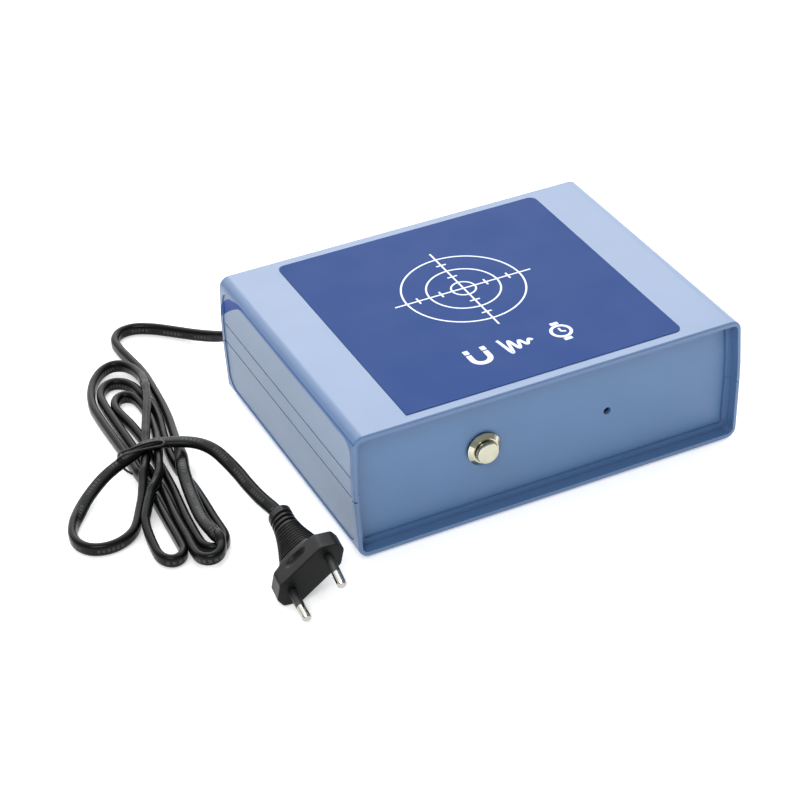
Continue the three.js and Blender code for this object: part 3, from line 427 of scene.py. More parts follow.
# In millimetres, with the front face at y = 0, the pins towards -Y and the width along X.
PLUG_POSITION = (-107.1, -76.1, 11.4)
PLUG_YAW = math.radians(-7)
PLUG_PITCH = math.radians(-2)
PLUG_FLAT_SHARE = 10.3 / 15.4  # the flat's share of the width
PLUG_SIDE_SHARE = 1.9 / 5.9  # the side's share of the height
PLUG_LENGTH = 41.8
PLUG_WIDTHS = (
    (0, 15.4), (8.5, 15.4), (8.8, 15.2), (9.0, 14.6), (9.2, 13.2), (9.5, 12.0), (10, 11.1),
    (11, 10.3), (12.5, 9.7), (15, 9.0), (18, 8.2), (22, 7.1), (26, 6.1), (30, 5.4), (34, 4.9),
    (PLUG_LENGTH, 4.8),
)
PLUG_HEIGHTS = (
    (0, 5.9), (9.5, 5.9), (12, 5.7), (16, 5.2), (20, 4.7), (26, 4.1), (30, 3.8),
    (PLUG_LENGTH, 3.6),
)
FINE_RIBS = (11.4, 29.2, 1.78, 0.85)  # from, to, pitch and depth
NECK_GROOVES = (31, 33.9, 36.8)
NECK_GROOVE_WIDTH = 1.5
NECK_GROOVE_DEPTH = 1.1
DIMPLE = (6.4, 4.6, 2.2, 1.1)  # place along the plug, half width, half length and depth
PLUG_POINTS = 144
PLUG_SPACINGS = ((0.7, 8.5, 0.3), (8.5, 11.5, 0.1), (11.6, PLUG_LENGTH - 1, 0.14))  # from, to, step
PLUG_SHARPNESS = 60  # the power that draws the octagon: the higher, the sharper its corners
FACE_ROUNDING = ((0, 0.45), (0.06, 0.25), (0.18, 0.1), (0.4, 0))  # place and inset
NECK_ROUNDING = ((0.9, 0.05), (0.5, 0.25), (0.15, 0.7), (0, 1.3))  # place from the end and inset


def plug_matrix():
    """How the plug is turned: on its roll first, then nose down, then in plan."""
    return (
        Matrix.Rotation(PLUG_YAW, 3, "Z")
        @ Matrix.Rotation(PLUG_PITCH, 3, "X")
        @ Matrix.Rotation(-PLUG_TURN, 3, "Y")
    )


def groove_depth(y):
    """How far the ribs' grooves cut in at a place along the plug."""
    start, end, pitch, depth = FINE_RIBS
    cut = 0.0
    if start < y < end:
        wave = 0.5 - 0.5 * math.cos(2 * math.pi * (y - start) / pitch)
        cut = depth * wave ** 1.5
    for middle in NECK_GROOVES:
        away = abs(y - middle) / (NECK_GROOVE_WIDTH / 2)
        if away < 1:
            cut = max(cut, NECK_GROOVE_DEPTH * (1 - away ** 4))
    return cut


def plug_ring(y, inset=0.0):
    """One cross-section: a flat octagon at the face that becomes an oval at the neck."""
    width = float(np.interp(y, *zip(*PLUG_WIDTHS)))
    height = float(np.interp(y, *zip(*PLUG_HEIGHTS)))
    oval = float(np.interp(y, (9.2, 15), (0, 0.85)))
    slope_x = (1 - PLUG_SIDE_SHARE) / (1 - PLUG_SIDE_SHARE * PLUG_FLAT_SHARE)
    slope_z = (1 - PLUG_FLAT_SHARE) / (1 - PLUG_SIDE_SHARE * PLUG_FLAT_SHARE)
    cut = groove_depth(y) + inset
    place, half_across, half_along, depth = DIMPLE
    ring = []
    for k in range(PLUG_POINTS):
        angle = 2 * math.pi * k / PLUG_POINTS
        c, s = abs(math.cos(angle)), abs(math.sin(angle))
        slope = slope_x * c + slope_z * s
        sides = c ** PLUG_SHARPNESS + s ** PLUG_SHARPNESS + slope ** PLUG_SHARPNESS
        octagon = sides ** (-1 / PLUG_SHARPNESS)
        reach = (1 - oval) * octagon + oval
        x = math.cos(angle) * reach * (width - cut)
        z = math.sin(angle) * reach * (height - cut)
        hollow = (x / half_across) ** 2 + ((y - place) / half_along) ** 2
        if z > 0 and hollow < 1:
            z -= depth * (1 - hollow ** 2)
        ring.append((x, y, z))
    return ring


def make_plug():
    """The plug's shell, with its cross-sections closer together where its form changes faster."""
    stations = list(FACE_ROUNDING)
    for start, end, step in PLUG_SPACINGS:
        stations += [(y, 0) for y in np.arange(start, end, step)]
    stations += [(PLUG_LENGTH - away, inset) for away, inset in NECK_ROUNDING]
    turn = plug_matrix()
    origin = Vector(PLUG_POSITION)
    rings = []
    for y, inset in stations:
        ring = plug_ring(float(y), inset)
        rings.append([(origin + turn @ Vector(p)) * MM for p in reversed(ring)])
    return loft("plug_shell", rings, sharp_degrees=50)


plug = make_plug()


# ---------- strain relief and tie ----------

# Its outline as radius and Y, from the flange inside the case to the flange outside it.
RELIEF_FLANGES = (
    (5.9, 54), (6.4, 54.5), (6.4, 56), (4.9, 56.3), (4.9, 58.3), (6.0, 58.4), (6.4, 58.9),
    (6.4, 59.5), (6.1, 59.9),
)
RELIEF_RIBS = 6
RELIEF_RIB_PITCH = 2.8
RELIEF_RIB_RADIUS = 5.5
RELIEF_RIB_TAPER = 0.28  # how much smaller each rib's radius is than the one before
RELIEF_SEGMENTS = 56


def make_strain_relief():
    """A moulded boot about Y: a flange on each side of the rear panel, then tapering ribs."""
    profile = list(RELIEF_FLANGES)
    first = profile[-1][1] + 0.4
    for rib in range(RELIEF_RIBS):
        y = first + rib * RELIEF_RIB_PITCH
        end = y + RELIEF_RIB_PITCH
        radius = RELIEF_RIB_RADIUS - RELIEF_RIB_TAPER * rib
        profile += [
            (radius - 0.8, y), (radius - 0.8, y + 0.9), (radius - 0.2, y + 1.0), (radius, y + 1.25),
            (radius - 0.04, end - 0.3), (radius - 0.25, end - 0.05),
        ]
    profile += [(3.5, EXIT[1] - 0.5), (3.3, EXIT[1])]
    angles = [2 * math.pi * k / RELIEF_SEGMENTS for k in range(RELIEF_SEGMENTS)]
    rings = []
    for radius, y in profile:
        rings.append([
            Vector((EXIT[0] + radius * math.cos(a), y, EXIT[2] - radius * math.sin(a))) * MM
            for a in angles
        ])
    return loft("strain_relief_boot", rings, sharp_degrees=35)


# The tie: a thin plastic-covered wire, folded double, over the crossing and down beside the hank.
TIE_RADIUS = 0.5
TIE_SEGMENTS = 12
TIE_ROUTE = [
    (-139.6, 24.8, 3.6), (-140.9, 27.7, 3.8), (-142.2, 30.3, 5.2), (-142.8, 30, 9.4),
    (-142.6, 27, 13.6), (-140.3, 24.4, 15.5), (-135.1, 24.7, 15.8), (-129.6, 24.4, 15.8),
    (-127, 23.6, 15.8), (-126, 21.9, 15.7), (-127.2, 20.6, 15.6), (-130.6, 21, 15.6),
    (-135.5, 21.7, 15.6), (-140.3, 22.3, 15.2), (-143.4, 25.6, 12.4), (-144, 29, 8.4),
    (-142.8, 31.6, 5.2),
]


def make_tie():
    """One round wire along the tie's route."""
    path = smooth_curve(TIE_ROUTE, 0.5)
    angles = [2 * math.pi * k / TIE_SEGMENTS for k in range(TIE_SEGMENTS)]
    section = [(TIE_RADIUS * math.cos(a), TIE_RADIUS * math.sin(a)) for a in angles]
    up = np.tile((0.1, 0.3, 1.0), (len(path), 1))
    return sweep("cord_tie", path * MM, up, np.array(section) * MM)


relief = make_strain_relief()
tie = make_tie()
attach(cord, "case")
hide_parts("cord_lead", "cord_hank", "cord_tail")
for piece, node_name in ((plug, "plug_body"), (relief, "cord_strain_relief")):
    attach(piece, "case")
    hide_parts(node_name)
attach(tie, "case")


# ---------- material helpers ----------

class Material:
    """A node material with a Principled shader, and the textures that its makers add."""

    def __init__(self, name, colour, roughness, metallic=0.0, **sockets):
        self.data = bpy.data.materials.new(name)
        self.data.use_nodes = True
        self.tree = self.data.node_tree
        self.shader = self.tree.nodes["Principled BSDF"]
        self.colour = colour
        self.set("Base Color", (*colour, 1))
        self.set("Roughness", roughness)
        self.set("Metallic", metallic)
        for socket, value in sockets.items():
            self.set(socket.replace("_", " "), value)
        self.place = self.node("ShaderNodeTexCoord").outputs["Object"]

    def set(self, socket, value):
        self.shader.inputs[socket].default_value = value

    def node(self, kind, **settings):
        made = self.tree.nodes.new(kind)
        for key, value in settings.items():
            setattr(made, key, value)
        return made

    def link(self, output, target):
        self.tree.links.new(output, target)

    def noise(self, scale, detail=4.0, roughness=0.55, stretch=None):
        """Noise from 0 to 1 at a scale in cycles a metre, stretched along the axes if asked."""
        texture = self.node("ShaderNodeTexNoise")
        texture.inputs["Scale"].default_value = scale
        texture.inputs["Detail"].default_value = detail
        texture.inputs["Roughness"].default_value = roughness
        place = self.place
        if stretch:
            mapping = self.node("ShaderNodeMapping")
            mapping.inputs["Scale"].default_value = stretch
            self.link(place, mapping.inputs["Vector"])
            place = mapping.outputs["Vector"]
        self.link(place, texture.inputs["Vector"])
        return texture.outputs["Fac"]

    def fit(self, value, low, high, start=0.3, end=0.7):
        """The value from start to end, mapped to low to high."""
        mapped = self.node("ShaderNodeMapRange")
        mapped.inputs["From Min"].default_value = start
        mapped.inputs["From Max"].default_value = end
        mapped.inputs["To Min"].default_value = low
        mapped.inputs["To Max"].default_value = high
        self.link(value, mapped.inputs["Value"])
        return mapped.outputs["Result"]

    def math(self, operation, first, second=None):
        made = self.node("ShaderNodeMath", operation=operation)
        for value, socket in ((first, made.inputs[0]), (second, made.inputs[1])):
            if value is None:
                continue
            if isinstance(value, (int, float)):
                socket.default_value = value
            else:
                self.link(value, socket)
        return made.outputs[0]

    def vector(self, operation, first, second=None):
        made = self.node("ShaderNodeVectorMath", operation=operation)
        for value, socket in ((first, made.inputs[0]), (second, made.inputs[1])):
            if value is None:
                continue
            if isinstance(value, tuple):
                socket.default_value = value
            else:
                self.link(value, socket)
        return made.outputs["Value" if operation == "LENGTH" else "Vector"]

    def split(self, vector):
        """The three parts of a vector."""
        made = self.node("ShaderNodeSeparateXYZ")
        self.link(vector, made.inputs[0])
        return made.outputs

    def mix(self, share, first, second):
        """Two colours, the second one where share is 1."""
        made = self.node("ShaderNodeMix", data_type="RGBA")
        self.link(share, made.inputs["Factor"])
        for value, socket in ((first, made.inputs[6]), (second, made.inputs[7])):
            if isinstance(value, tuple):
                socket.default_value = (*value[:3], 1)
            else:
                self.link(value, socket)
        return made.outputs[2]

    def tint(self, share, spread):
        """The base colour, a little darker and lighter by spread where share goes from 0 to 1."""
        dark = tuple(value * (1 - spread) for value in self.colour)
        light = tuple(min(1.0, value * (1 + spread)) for value in self.colour)
        return self.mix(share, dark, light)

    def use_colour(self, output):
        self.link(output, self.shader.inputs["Base Color"])

    def use_roughness(self, output):
        self.link(output, self.shader.inputs["Roughness"])

    def bump(self, height, distance, strength=1.0):
        """Relief by a height from 0 to 1, over a distance in metres."""
        made = self.node("ShaderNodeBump")
        made.inputs["Distance"].default_value = distance
        made.inputs["Strength"].default_value = strength
        self.link(height, made.inputs["Height"])
        self.link(made.outputs["Normal"], self.shader.inputs["Normal"])


def srgb(red, green, blue):
    """A colour given as it looks on a screen, from 0 to 255, as the shader's linear values."""
    values = []
    for value in (red, green, blue):
        share = value / 255
        values.append(share / 12.92 if share <= 0.04045 else ((share + 0.055) / 1.055) ** 2.4)
    return tuple(values)


# How far each kind of material strays from its colour, as a share of it.
MOULDED_SPREAD = 0.03
METAL_SPREAD = 0.05
RUBBERY_SPREAD = 0.18
METAL_GRAIN = 0.000006  # metres


def moulded(name, colour, roughness=0.35, grain=0.00002, **sockets):
    """Moulded plastic: a fine orange-peel surface, cloudy gloss and slightly uneven colour."""
    made = Material(name, colour, roughness, **sockets)
    cloud = made.noise(35, 3)
    made.use_colour(made.tint(made.fit(cloud, 0, 1), MOULDED_SPREAD))
    made.use_roughness(made.fit(made.noise(180, 4), roughness * 0.85, roughness * 1.15))
    made.bump(made.noise(1400, 3), grain)
    return made


def metal(name, colour, roughness=0.25, stretch=None):
    """Bare or plated metal, with faint marks that can run along one axis."""
    made = Material(name, colour, roughness, 1.0)
    marks = made.noise(900, 5, 0.6, stretch)
    made.use_roughness(made.fit(marks, roughness * 0.7, roughness * 1.3))
    made.use_colour(made.tint(made.fit(made.noise(220, 3), 0, 1), METAL_SPREAD))
    made.bump(marks, METAL_GRAIN)
    return made


def rubbery(name, colour, roughness=0.6, grain=0.00004, scale=900, shine=0.4):
    """Soft PVC or rubber: a dull fine grain, with smoother handled places."""
    made = Material(name, colour, roughness, Specular_IOR_Level=shine)
    made.use_roughness(made.fit(made.noise(120, 4), roughness * 0.75, roughness * 1.15))
    made.use_colour(made.tint(made.fit(made.noise(60, 3), 0, 1), RUBBERY_SPREAD))
    made.bump(made.noise(scale, 4, 0.65), grain)
    return made


# ---------- case materials ----------

CASE_BLUE = srgb(78, 110, 152)
# The pockets' greyer colour is painted sheen: the pale reflection on their textured surface, put
# into the colour of the same blue plastic.
POCKET_SHEEN_TONE = srgb(145, 160, 182)
PANEL_BLUE = srgb(86, 119, 160)
LABEL_NAVY = srgb(12, 56, 120)

# The side walls' outer faces lie further out than this, and face more sideways than this.
OUTER_WALL = 81.75 * MM
OUTER_FACING = 0.5

# The shallow textured pocket in each side wall, in Y and Z.
POCKET_MIDDLE = 1.6 * MM
POCKET_HALF_LENGTH = 63 * MM
POCKET_LOW = 5.5 * MM
POCKET_HIGH = 51.6 * MM
POCKET_RADIUS = 6 * MM
POCKET_EDGE = 0.1 * MM
POCKET_GRAIN = 0.06 * MM
POCKET_SHEEN_DARK = tuple(value * 0.95 for value in POCKET_SHEEN_TONE)
POCKET_SHEEN_LIGHT = tuple(value * 1.06 for value in POCKET_SHEEN_TONE)
SHELL_SPREAD = 0.012
SHELL_SHINE = 0.75
POCKET_DULLING = 0.5
CRESCENT_DULLING = 0.7
POCKET_ROUGHNESS = 0.28  # how much rougher the pocket is than the shell

# The crescent at the pocket's rear upper corner is a painted dark reflection of the glossy plastic.
# In Y and Z: where its cuts start, and the sizes and the power of each cut. Along the top it goes
# on as a thin, fainter line.
CRESCENT_START = (42 * MM, 38 * MM)
CRESCENT_INNER = (21 * MM, 14.3 * MM)
CRESCENT_INNER_POWER = 1.15
CRESCENT_OUTER = (22.3 * MM, 15.2 * MM)
CRESCENT_OUTER_POWER = 2.0
CRESCENT_REFLECTION_NAVY = srgb(46, 76, 148)
CRESCENT_FADE = 4 * MM
CRESCENT_LINE = 0.3


def case_plastic():
    """Glossy blue shell; its side pockets have a fine matt texture, painted sheen and a painted
    reflection.
    """
    made = Material("case_plastic", CASE_BLUE, 0.28)
    x, y, z = made.split(made.place)
    inside = pocket_outline(made)
    crescent = crescent_outline(made, y, z)
    sideways_normal = made.split(made.node("ShaderNodeNewGeometry").outputs["True Normal"])[0]
    sideways = made.math("GREATER_THAN", made.math("ABSOLUTE", sideways_normal), OUTER_FACING)
    outer = made.math("GREATER_THAN", made.math("ABSOLUTE", x), OUTER_WALL)
    wall = made.math("MULTIPLY", sideways, outer)
    painted_reflection = made.math("MULTIPLY", crescent, wall)
    uncrossed = made.math("SUBTRACT", 1.0, crescent)
    pocket = made.math("MULTIPLY", made.math("MULTIPLY", inside, uncrossed), wall)

    cloud = made.noise(28, 3)
    # Painted sheen: the pockets' greyer tone, a little uneven.
    tone = made.mix(cloud, POCKET_SHEEN_DARK, POCKET_SHEEN_LIGHT)
    shell = made.mix(pocket, made.tint(cloud, SHELL_SPREAD), tone)
    # Painted dark reflection: the navy crescent, fading to a thin line towards the front.
    fade_start = CRESCENT_START[0] - CRESCENT_FADE
    behind = made.fit(y, CRESCENT_LINE, 1, fade_start, CRESCENT_START[0])
    made.use_colour(made.mix(made.math("MULTIPLY", painted_reflection, behind), shell, CRESCENT_REFLECTION_NAVY))

    pocket_dulled = made.math("MULTIPLY", pocket, POCKET_DULLING)
    crescent_dulled = made.math("MULTIPLY", painted_reflection, CRESCENT_DULLING)
    dulled = made.math("ADD", pocket_dulled, crescent_dulled)
    shine = made.math("SUBTRACT", SHELL_SHINE, dulled)
    made.link(shine, made.shader.inputs["Specular IOR Level"])
    gloss = made.fit(made.noise(60, 2), 0.26, 0.32, 0.0, 1.0)
    rougher = made.math("MULTIPLY", pocket, POCKET_ROUGHNESS)
    made.use_roughness(made.math("ADD", gloss, rougher))
    made.bump(made.math("MULTIPLY", made.noise(2600, 3, 0.6), pocket), POCKET_GRAIN)
    return made


def pocket_outline(made):
    """1 inside the pocket's rounded rectangle in Y and Z, and 0 outside it."""
    half_height = (POCKET_HIGH - POCKET_LOW) / 2
    centre = (0.0, POCKET_MIDDLE, (POCKET_LOW + POCKET_HIGH) / 2)
    half = (0.0, POCKET_HALF_LENGTH - POCKET_RADIUS, half_height - POCKET_RADIUS)
    flat = made.vector("MULTIPLY", made.place, (0.0, 1.0, 1.0))
    from_centre = made.vector("ABSOLUTE", made.vector("SUBTRACT", flat, centre))
    outside = made.vector("MAXIMUM", made.vector("SUBTRACT", from_centre, half), (0.0, 0.0, 0.0))
    away = made.vector("LENGTH", outside)
    return made.fit(away, 1, 0, POCKET_RADIUS - POCKET_EDGE, POCKET_RADIUS)


def crescent_outline(made, y, z):
    """1 between a nearly straight cut across the corner and an oval, and 0 elsewhere."""
    past_y = made.math("MAXIMUM", made.math("SUBTRACT", y, CRESCENT_START[0]), 0.0)
    past_z = made.math("MAXIMUM", made.math("SUBTRACT", z, CRESCENT_START[1]), 0.0)
    cut = power_sum(made, past_y, past_z, CRESCENT_INNER, CRESCENT_INNER_POWER)
    oval = power_sum(made, past_y, past_z, CRESCENT_OUTER, CRESCENT_OUTER_POWER)
    beyond = made.math("GREATER_THAN", cut, 1.0)
    return made.math("MULTIPLY", beyond, made.math("LESS_THAN", oval, 1.0))


def power_sum(made, first, second, sizes, power):
    """1 on a rounded cut with these sizes, and more beyond it."""
    first = made.math("POWER", made.math("DIVIDE", first, sizes[0]), power)
    second = made.math("POWER", made.math("DIVIDE", second, sizes[1]), power)
    return made.math("ADD", first, second)


def label_film():
    """Matt printed film, with the faint speckle of its ink."""
    made = Material("label_film", LABEL_NAVY, 0.5, Specular_IOR_Level=0.12)
    speckle = made.noise(1800, 2)
    made.use_colour(made.tint(made.fit(speckle, 0.2, 0.8), 0.04))
    made.use_roughness(made.fit(made.noise(60, 2), 0.47, 0.53))
    return made


NICKEL = srgb(196, 194, 174)
case_look = case_plastic()
NODE_LOOKS = {
    "top_shell": case_look,
    "bottom_shell": case_look,
    "front_panel": moulded("panel_plastic", PANEL_BLUE, 0.36),
    "target_label": label_film(),
    "rubber_foot": rubbery("foot_rubber", srgb(38, 39, 41), 0.8),
    "case_screw": metal("zinc_steel", srgb(176, 178, 182), 0.35),
    "button_bezel": metal("button_nickel", NICKEL, 0.16),
    "button_cap": metal("cap_nickel", NICKEL, 0.22),
    "button_gasket": rubbery("gasket_rubber", srgb(22, 23, 25), 0.7),
    "button_spring": metal("spring_steel", srgb(170, 172, 176), 0.3),
    "switch_block": moulded("switch_plastic", srgb(38, 40, 43), 0.5),
    "switch_terminal": metal("terminal_brass", srgb(205, 170, 95), 0.3),
    # Near black as painted shade: the LED sits deep behind its small hole, which is dark with
    # shade.
    "indicator_led": moulded("led_epoxy", srgb(10, 11, 14), 0.6, Specular_IOR_Level=0.1),
    "led_board": moulded("board_epoxy", srgb(44, 104, 70), 0.4),
    "led_resistor": moulded("resistor_body", srgb(206, 184, 140), 0.45),
    "led_diode": moulded("diode_body", srgb(34, 34, 36), 0.4),
    "laminated_core": metal("core_iron", srgb(110, 106, 102), 0.45, (1, 60, 1)),
    "coil_bobbin": moulded("bobbin_nylon", srgb(230, 226, 212), 0.5),
    "copper_winding": metal("enamelled_copper", srgb(184, 104, 58), 0.3, (1, 1, 40)),
    "winding_tape": moulded("coil_tape", srgb(216, 186, 60), 0.35),
    "core_strap": metal("strap_steel", srgb(170, 172, 176), 0.4),
    "live_wire": moulded("live_insulation", srgb(110, 66, 36), 0.4),
    "neutral_wire": moulded("neutral_insulation", srgb(46, 94, 170), 0.4),
    "switched_wire": moulded("switched_insulation", srgb(42, 42, 45), 0.4),
    "plug_pin": metal("pin_nickel", srgb(168, 167, 160), 0.16),
    "pin_sleeve": rubbery("sleeve_plastic", srgb(30, 31, 32), 0.45),
}
SAME_LOOKS = {
    "rear_panel": "front_panel",
    "button_lock_washer": "button_bezel",
    "button_nut": "button_bezel",
    "strap_screw": "case_screw",
    "plug_body": "pin_sleeve",
    "cord_": "pin_sleeve",
}


def look_of(name):
    """The material of a CAD node, by the start of its name."""
    for start, look in NODE_LOOKS.items():
        if name.startswith(start):
            return look
    for start, other in SAME_LOOKS.items():
        if name.startswith(start):
            return NODE_LOOKS[other]
    raise KeyError(name)


def dress(obj, look):
    """Gives an object one material, in place of any that it has."""
    obj.data.materials.clear()
    obj.data.materials.append(look.data)


for name, node in nodes.items():
    dress(node, look_of(name))


# ---------- cord and plug materials ----------

CORD_BLACK = srgb(9, 10, 10)
MARK_GREY = srgb(78, 80, 80)
MARK_PITCH = 1.7 * MM  # one dash and its gap
MARK_DASH = 0.6  # the dash's share of that
MARK_ROW_PITCH = 15.5 * MM  # one row of dashes and its gap
MARK_ROW = 0.62  # the row's share of that
MARK_HALF_HEIGHT = 0.7 * MM
MARK_DEPTH = 0.99 * CORD_THICKNESS / 2 * MM  # only the flat of a broad side lies further out


def cord_plastic():
    """Black PVC, with rows of worn dashes along the middle of its broad sides."""
    made = rubbery("cord_pvc", CORD_BLACK, 0.3, 0.00001, 1500, 0.16)
    lay = made.node("ShaderNodeAttribute", attribute_name="lay")
    along, across, out = made.split(lay.outputs["Vector"])
    dash = repeat(made, along, MARK_PITCH, MARK_DASH)
    row = repeat(made, along, MARK_ROW_PITCH, MARK_ROW)
    middle = made.math("LESS_THAN", made.math("ABSOLUTE", across), MARK_HALF_HEIGHT)
    broad = made.math("GREATER_THAN", made.math("ABSOLUTE", out), MARK_DEPTH)
    place = made.math("MULTIPLY", middle, broad)
    mark = made.math("MULTIPLY", made.math("MULTIPLY", dash, row), place)
    worn = made.math("MULTIPLY", mark, made.fit(made.noise(2600, 2), 0.1, 0.75, 0.35, 0.6))
    base = made.shader.inputs["Base Color"].links[0].from_socket
    made.use_colour(made.mix(worn, base, MARK_GREY))
    return made


def repeat(made, distance, pitch, share):
    """1 along the first share of every pitch, and 0 along the rest."""
    turn = made.math("FRACT", made.math("DIVIDE", distance, pitch))
    return made.math("LESS_THAN", turn, share)


cord_look = cord_plastic()
plug_look = rubbery("plug_pvc", srgb(11, 13, 12), 0.38, 0.00003, 1800, 0.2)
dress(cord, cord_look)
dress(tie, rubbery("tie_pvc", CORD_BLACK, 0.35, 0.00001, 1500, 0.3))
dress(plug, plug_look)
dress(relief, plug_look)


# ---------- label print ----------

LABEL_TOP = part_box("target_label")[1].z
PRINT_HEIGHT = 0.00002
TARGET_CENTRE = (-0.43 * MM, 8.35 * MM)
RING_RADII = (4.95 * MM, 14.84 * MM, 24.8 * MM)
RING_POINTS = 120
CROSS_REACH = 30 * MM
TICK_PLACES = (9.85 * MM, 19.8 * MM)
TICK_HALF = 2.15 * MM
LINE_WIDTH = 0.75 * MM
PICTOGRAM_Y = -37.7 * MM
PICTOGRAM_X = (-17.5 * MM, -0.8 * MM, 17.9 * MM)


def arc(centre, radius, first, last, steps):
    """Points along a part of a circle, between two angles in degrees."""
    points = []
    for k in range(steps + 1):
        angle = math.radians(first + (last - first) * k / steps)
        points.append((centre[0] + radius * math.cos(angle), centre[1] + radius * math.sin(angle)))
    return points


def circle(centre, radius, count):
    """Points all round a circle."""
    return arc(centre, radius, 0, 360 - 360 / count, count - 1)


class Print:
    """Raised lines of ink on the label, gathered into one mesh."""

    def __init__(self):
        self.points = []
        self.faces = []

    def line(self, way, width, closed=False, layer=1):
        """A line of even width along the points, with mitred corners, in one layer of ink."""
        way = np.array(way, float)
        before = np.roll(way, 1, axis=0) if closed else np.vstack([way[:1], way[:-1]])
        after = np.roll(way, -1, axis=0) if closed else np.vstack([way[1:], way[-1:]])
        to_here = way - before
        onward = after - way
        if not closed:
            to_here[0] = onward[0]
            onward[-1] = to_here[-1]
        to_here /= np.linalg.norm(to_here, axis=1)[:, None]
        onward /= np.linalg.norm(onward, axis=1)[:, None]
        middle = to_here + onward
        middle /= np.linalg.norm(middle, axis=1)[:, None]
        side = np.stack([-middle[:, 1], middle[:, 0]], axis=1)
        stretch = 1 / np.maximum((middle * onward).sum(axis=1), 0.3)
        offset = side * (width / 2 * stretch)[:, None]
        start = len(self.points)
        low, high = LABEL_TOP, LABEL_TOP + PRINT_HEIGHT * layer
        for left, right in zip(way + offset, way - offset):
            self.points += [(*left, low), (*right, low), (*right, high), (*left, high)]
        spans = len(way) if closed else len(way) - 1
        for i in range(spans):
            here = start + 4 * i
            there = start + 4 * ((i + 1) % len(way))
            for a, b in ((0, 1), (1, 2), (2, 3), (3, 0)):
                self.faces.append((here + a, here + b, there + b, there + a))
        if not closed:
            end = start + 4 * (len(way) - 1)
            self.faces.append((start + 3, start + 2, start + 1, start))
            self.faces.append((end, end + 1, end + 2, end + 3))

    def made(self, name):
        mesh = bpy.data.meshes.new(name)
        mesh.from_pydata(self.points, [], self.faces)
        mesh.update()
        sheet = bmesh.new()
        sheet.from_mesh(mesh)
        bmesh.ops.recalc_face_normals(sheet, faces=sheet.faces)
        sheet.to_mesh(mesh)
        sheet.free()
        return add_object(name, mesh)


def draw_target(ink):
    """Three rings and a cross with two ticks on each arm."""
    x, y = TARGET_CENTRE
    for radius in RING_RADII:
        ink.line(circle(TARGET_CENTRE, radius, RING_POINTS), LINE_WIDTH, closed=True)
    ink.line([(x - CROSS_REACH, y), (x + CROSS_REACH, y)], LINE_WIDTH, layer=2)
    ink.line([(x, y - CROSS_REACH), (x, y + CROSS_REACH)], LINE_WIDTH, layer=3)
    for place in TICK_PLACES:
        for side in (-1, 1):
            across = x + side * place
            along = y + side * place
            ink.line([(across, y - TICK_HALF), (across, y + TICK_HALF)], LINE_WIDTH, layer=4)
            ink.line([(x - TICK_HALF, along), (x + TICK_HALF, along)], LINE_WIDTH, layer=4)


def draw_magnet(ink, x, y):
    """A horseshoe magnet with its two poles set off."""
    arm = 3.6 * MM
    thickness = 2.2 * MM
    bow = arc((x, y - 1.6 * MM), arm, 180, 360, 18)
    arm_end = y + 1.8 * MM
    ink.line([(x - arm, arm_end)] + bow + [(x + arm, arm_end)], thickness)
    for side in (-1, 1):
        pole = x + side * arm
        ink.line([(pole, y + 2.6 * MM), (pole, y + 5.2 * MM)], thickness)


def draw_fading_wave(ink, x, y):
    """An alternating field that dies away."""
    half_length = 6.3 * MM
    swing = 5.8 * MM
    half_turns = 6.5
    decay = 1.7
    steps = 90
    points = []
    for k in range(steps + 1):
        share = k / steps
        height = swing * math.exp(-decay * share) * math.cos(half_turns * math.pi * share)
        points.append((x - half_length + 2 * half_length * share, y + height))
    ink.line(points, 1.3 * MM)


def draw_watch(ink, x, y):
    """A watch: a round case, two strap stubs and two hands."""
    case = 3.9 * MM
    ink.line(circle((x, y), case, 45), 1.3 * MM, closed=True)
    for side in (-1, 1):
        strap = [(x, y + side * (case + away)) for away in (0.9 * MM, 2.7 * MM)]
        ink.line(strap, 3.4 * MM)
    ink.line([(x, y + 2.3 * MM), (x, y), (x + 1.7 * MM, y - 0.9 * MM)], 0.9 * MM)


ink = Print()
draw_target(ink)
for draw, x in zip((draw_magnet, draw_fading_wave, draw_watch), PICTOGRAM_X):
    draw(ink, x, PICTOGRAM_Y)
label_print = ink.made("label_print")
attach(label_print, "case")
dress(label_print, moulded("print_ink", srgb(222, 230, 250), 0.45, 0.000008))


# ---------- edges of the CAD pieces ----------

SHARP_EDGE = math.radians(32)
ROUNDED_EDGE = math.radians(30)
ONE_FACE = math.radians(0.5)


def soften(node, width):
    """Joins a CAD piece's flat facets and rounds its sharp edges, all with modifiers."""
    flat = node.modifiers.new("flat_faces", "DECIMATE")
    flat.decimate_type = "DISSOLVE"
    flat.angle_limit = ONE_FACE
    edge = node.modifiers.new("round_edges", "BEVEL")
    edge.width = width
    edge.segments = 3
    edge.limit_method = "ANGLE"
    edge.angle_limit = ROUNDED_EDGE
    even = node.modifiers.new("even_shading", "WEIGHTED_NORMAL")
    even.keep_sharp = True


for node in nodes.values():
    node.data.shade_smooth()
    node.data.set_sharp_from_angle(angle=SHARP_EDGE)
for name in ("top_shell", "bottom_shell"):
    soften(nodes[name], 0.3 * MM)
soften(nodes["button_cap"], 0.3 * MM)
soften(nodes["button_bezel"], 0.2 * MM)


# ---------- floor and light ----------

FLOOR_REACH = 6.0


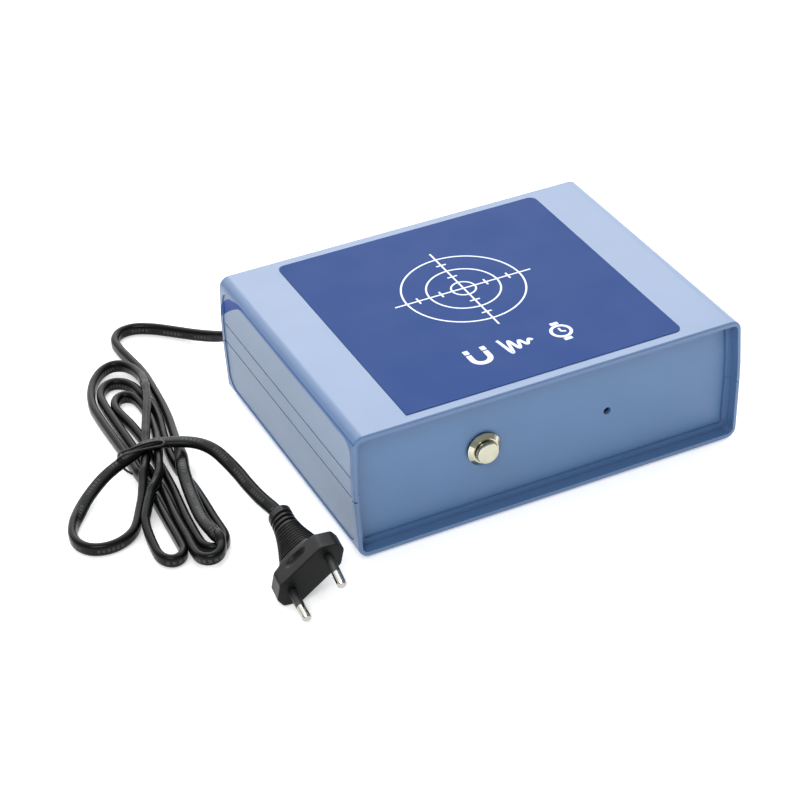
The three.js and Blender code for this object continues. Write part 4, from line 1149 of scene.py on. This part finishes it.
def add_floor():
    """A wide sheet of pale paper that glows a little, so that it stays white all round."""
    mesh = bpy.data.meshes.new("floor")
    signs = ((-1, -1), (1, -1), (1, 1), (-1, 1))
    corners = [(x * FLOOR_REACH, y * FLOOR_REACH, 0) for x, y in signs]
    mesh.from_pydata(corners, [], [(0, 1, 2, 3)])
    floor = add_object("floor", mesh)
    look = Material("floor_paper", (0.9, 0.9, 0.9), 0.9)
    look.set("Specular IOR Level", 0.0)
    look.set("Emission Color", (1, 1, 1, 1))
    look.set("Emission Strength", 0.4)
    dress(floor, look)


def add_softbox(name, place, target, size, power):
    """A rectangular area light that faces its target."""
    data = bpy.data.lights.new(name, "AREA")
    data.shape = "RECTANGLE"
    data.size, data.size_y = size
    data.energy = power
    light = bpy.data.objects.new(name, data)
    place = Vector(place)
    light.location = place
    light.rotation_euler = (Vector(target) - place).to_track_quat("-Z", "Y").to_euler()
    bpy.context.scene.collection.objects.link(light)


GLOW_EDGE = 0.2  # the cosine of the angle from the glow's centre at which it has died away


def add_world(around, glow, glow_centre):
    """A studio with even light all round, and a soft glow high up behind the object."""
    world = bpy.data.worlds.new("studio")
    world.use_nodes = True
    tree = world.node_tree
    place = tree.nodes.new("ShaderNodeTexCoord")
    towards = tree.nodes.new("ShaderNodeVectorMath")
    towards.operation = "DOT_PRODUCT"
    towards.inputs[1].default_value = Vector(glow_centre).normalized()
    strength = tree.nodes.new("ShaderNodeMapRange")
    strength.interpolation_type = "SMOOTHERSTEP"
    strength.inputs["From Min"].default_value = GLOW_EDGE
    strength.inputs["From Max"].default_value = 1.0
    strength.inputs["To Min"].default_value = around
    strength.inputs["To Max"].default_value = glow
    background = tree.nodes["Background"]
    background.inputs["Color"].default_value = (1, 1, 1, 1)
    tree.links.new(place.outputs["Generated"], towards.inputs[0])
    tree.links.new(towards.outputs["Value"], strength.inputs["Value"])
    tree.links.new(strength.outputs["Result"], background.inputs["Strength"])
    bpy.context.scene.world = world


add_floor()
add_world(around=0.35, glow=2.5, glow_centre=(0.34, 0.75, 0.56))
add_softbox("key", (-0.75, -0.9, 1.35), target=(0, 0, 0), size=(0.9, 0.7), power=12.5)
add_softbox("back", (0.5, 1.25, 0.98), target=(0, 0, 0.04), size=(0.9, 0.35), power=3)
bpy.context.scene.view_settings.view_transform = "Standard"
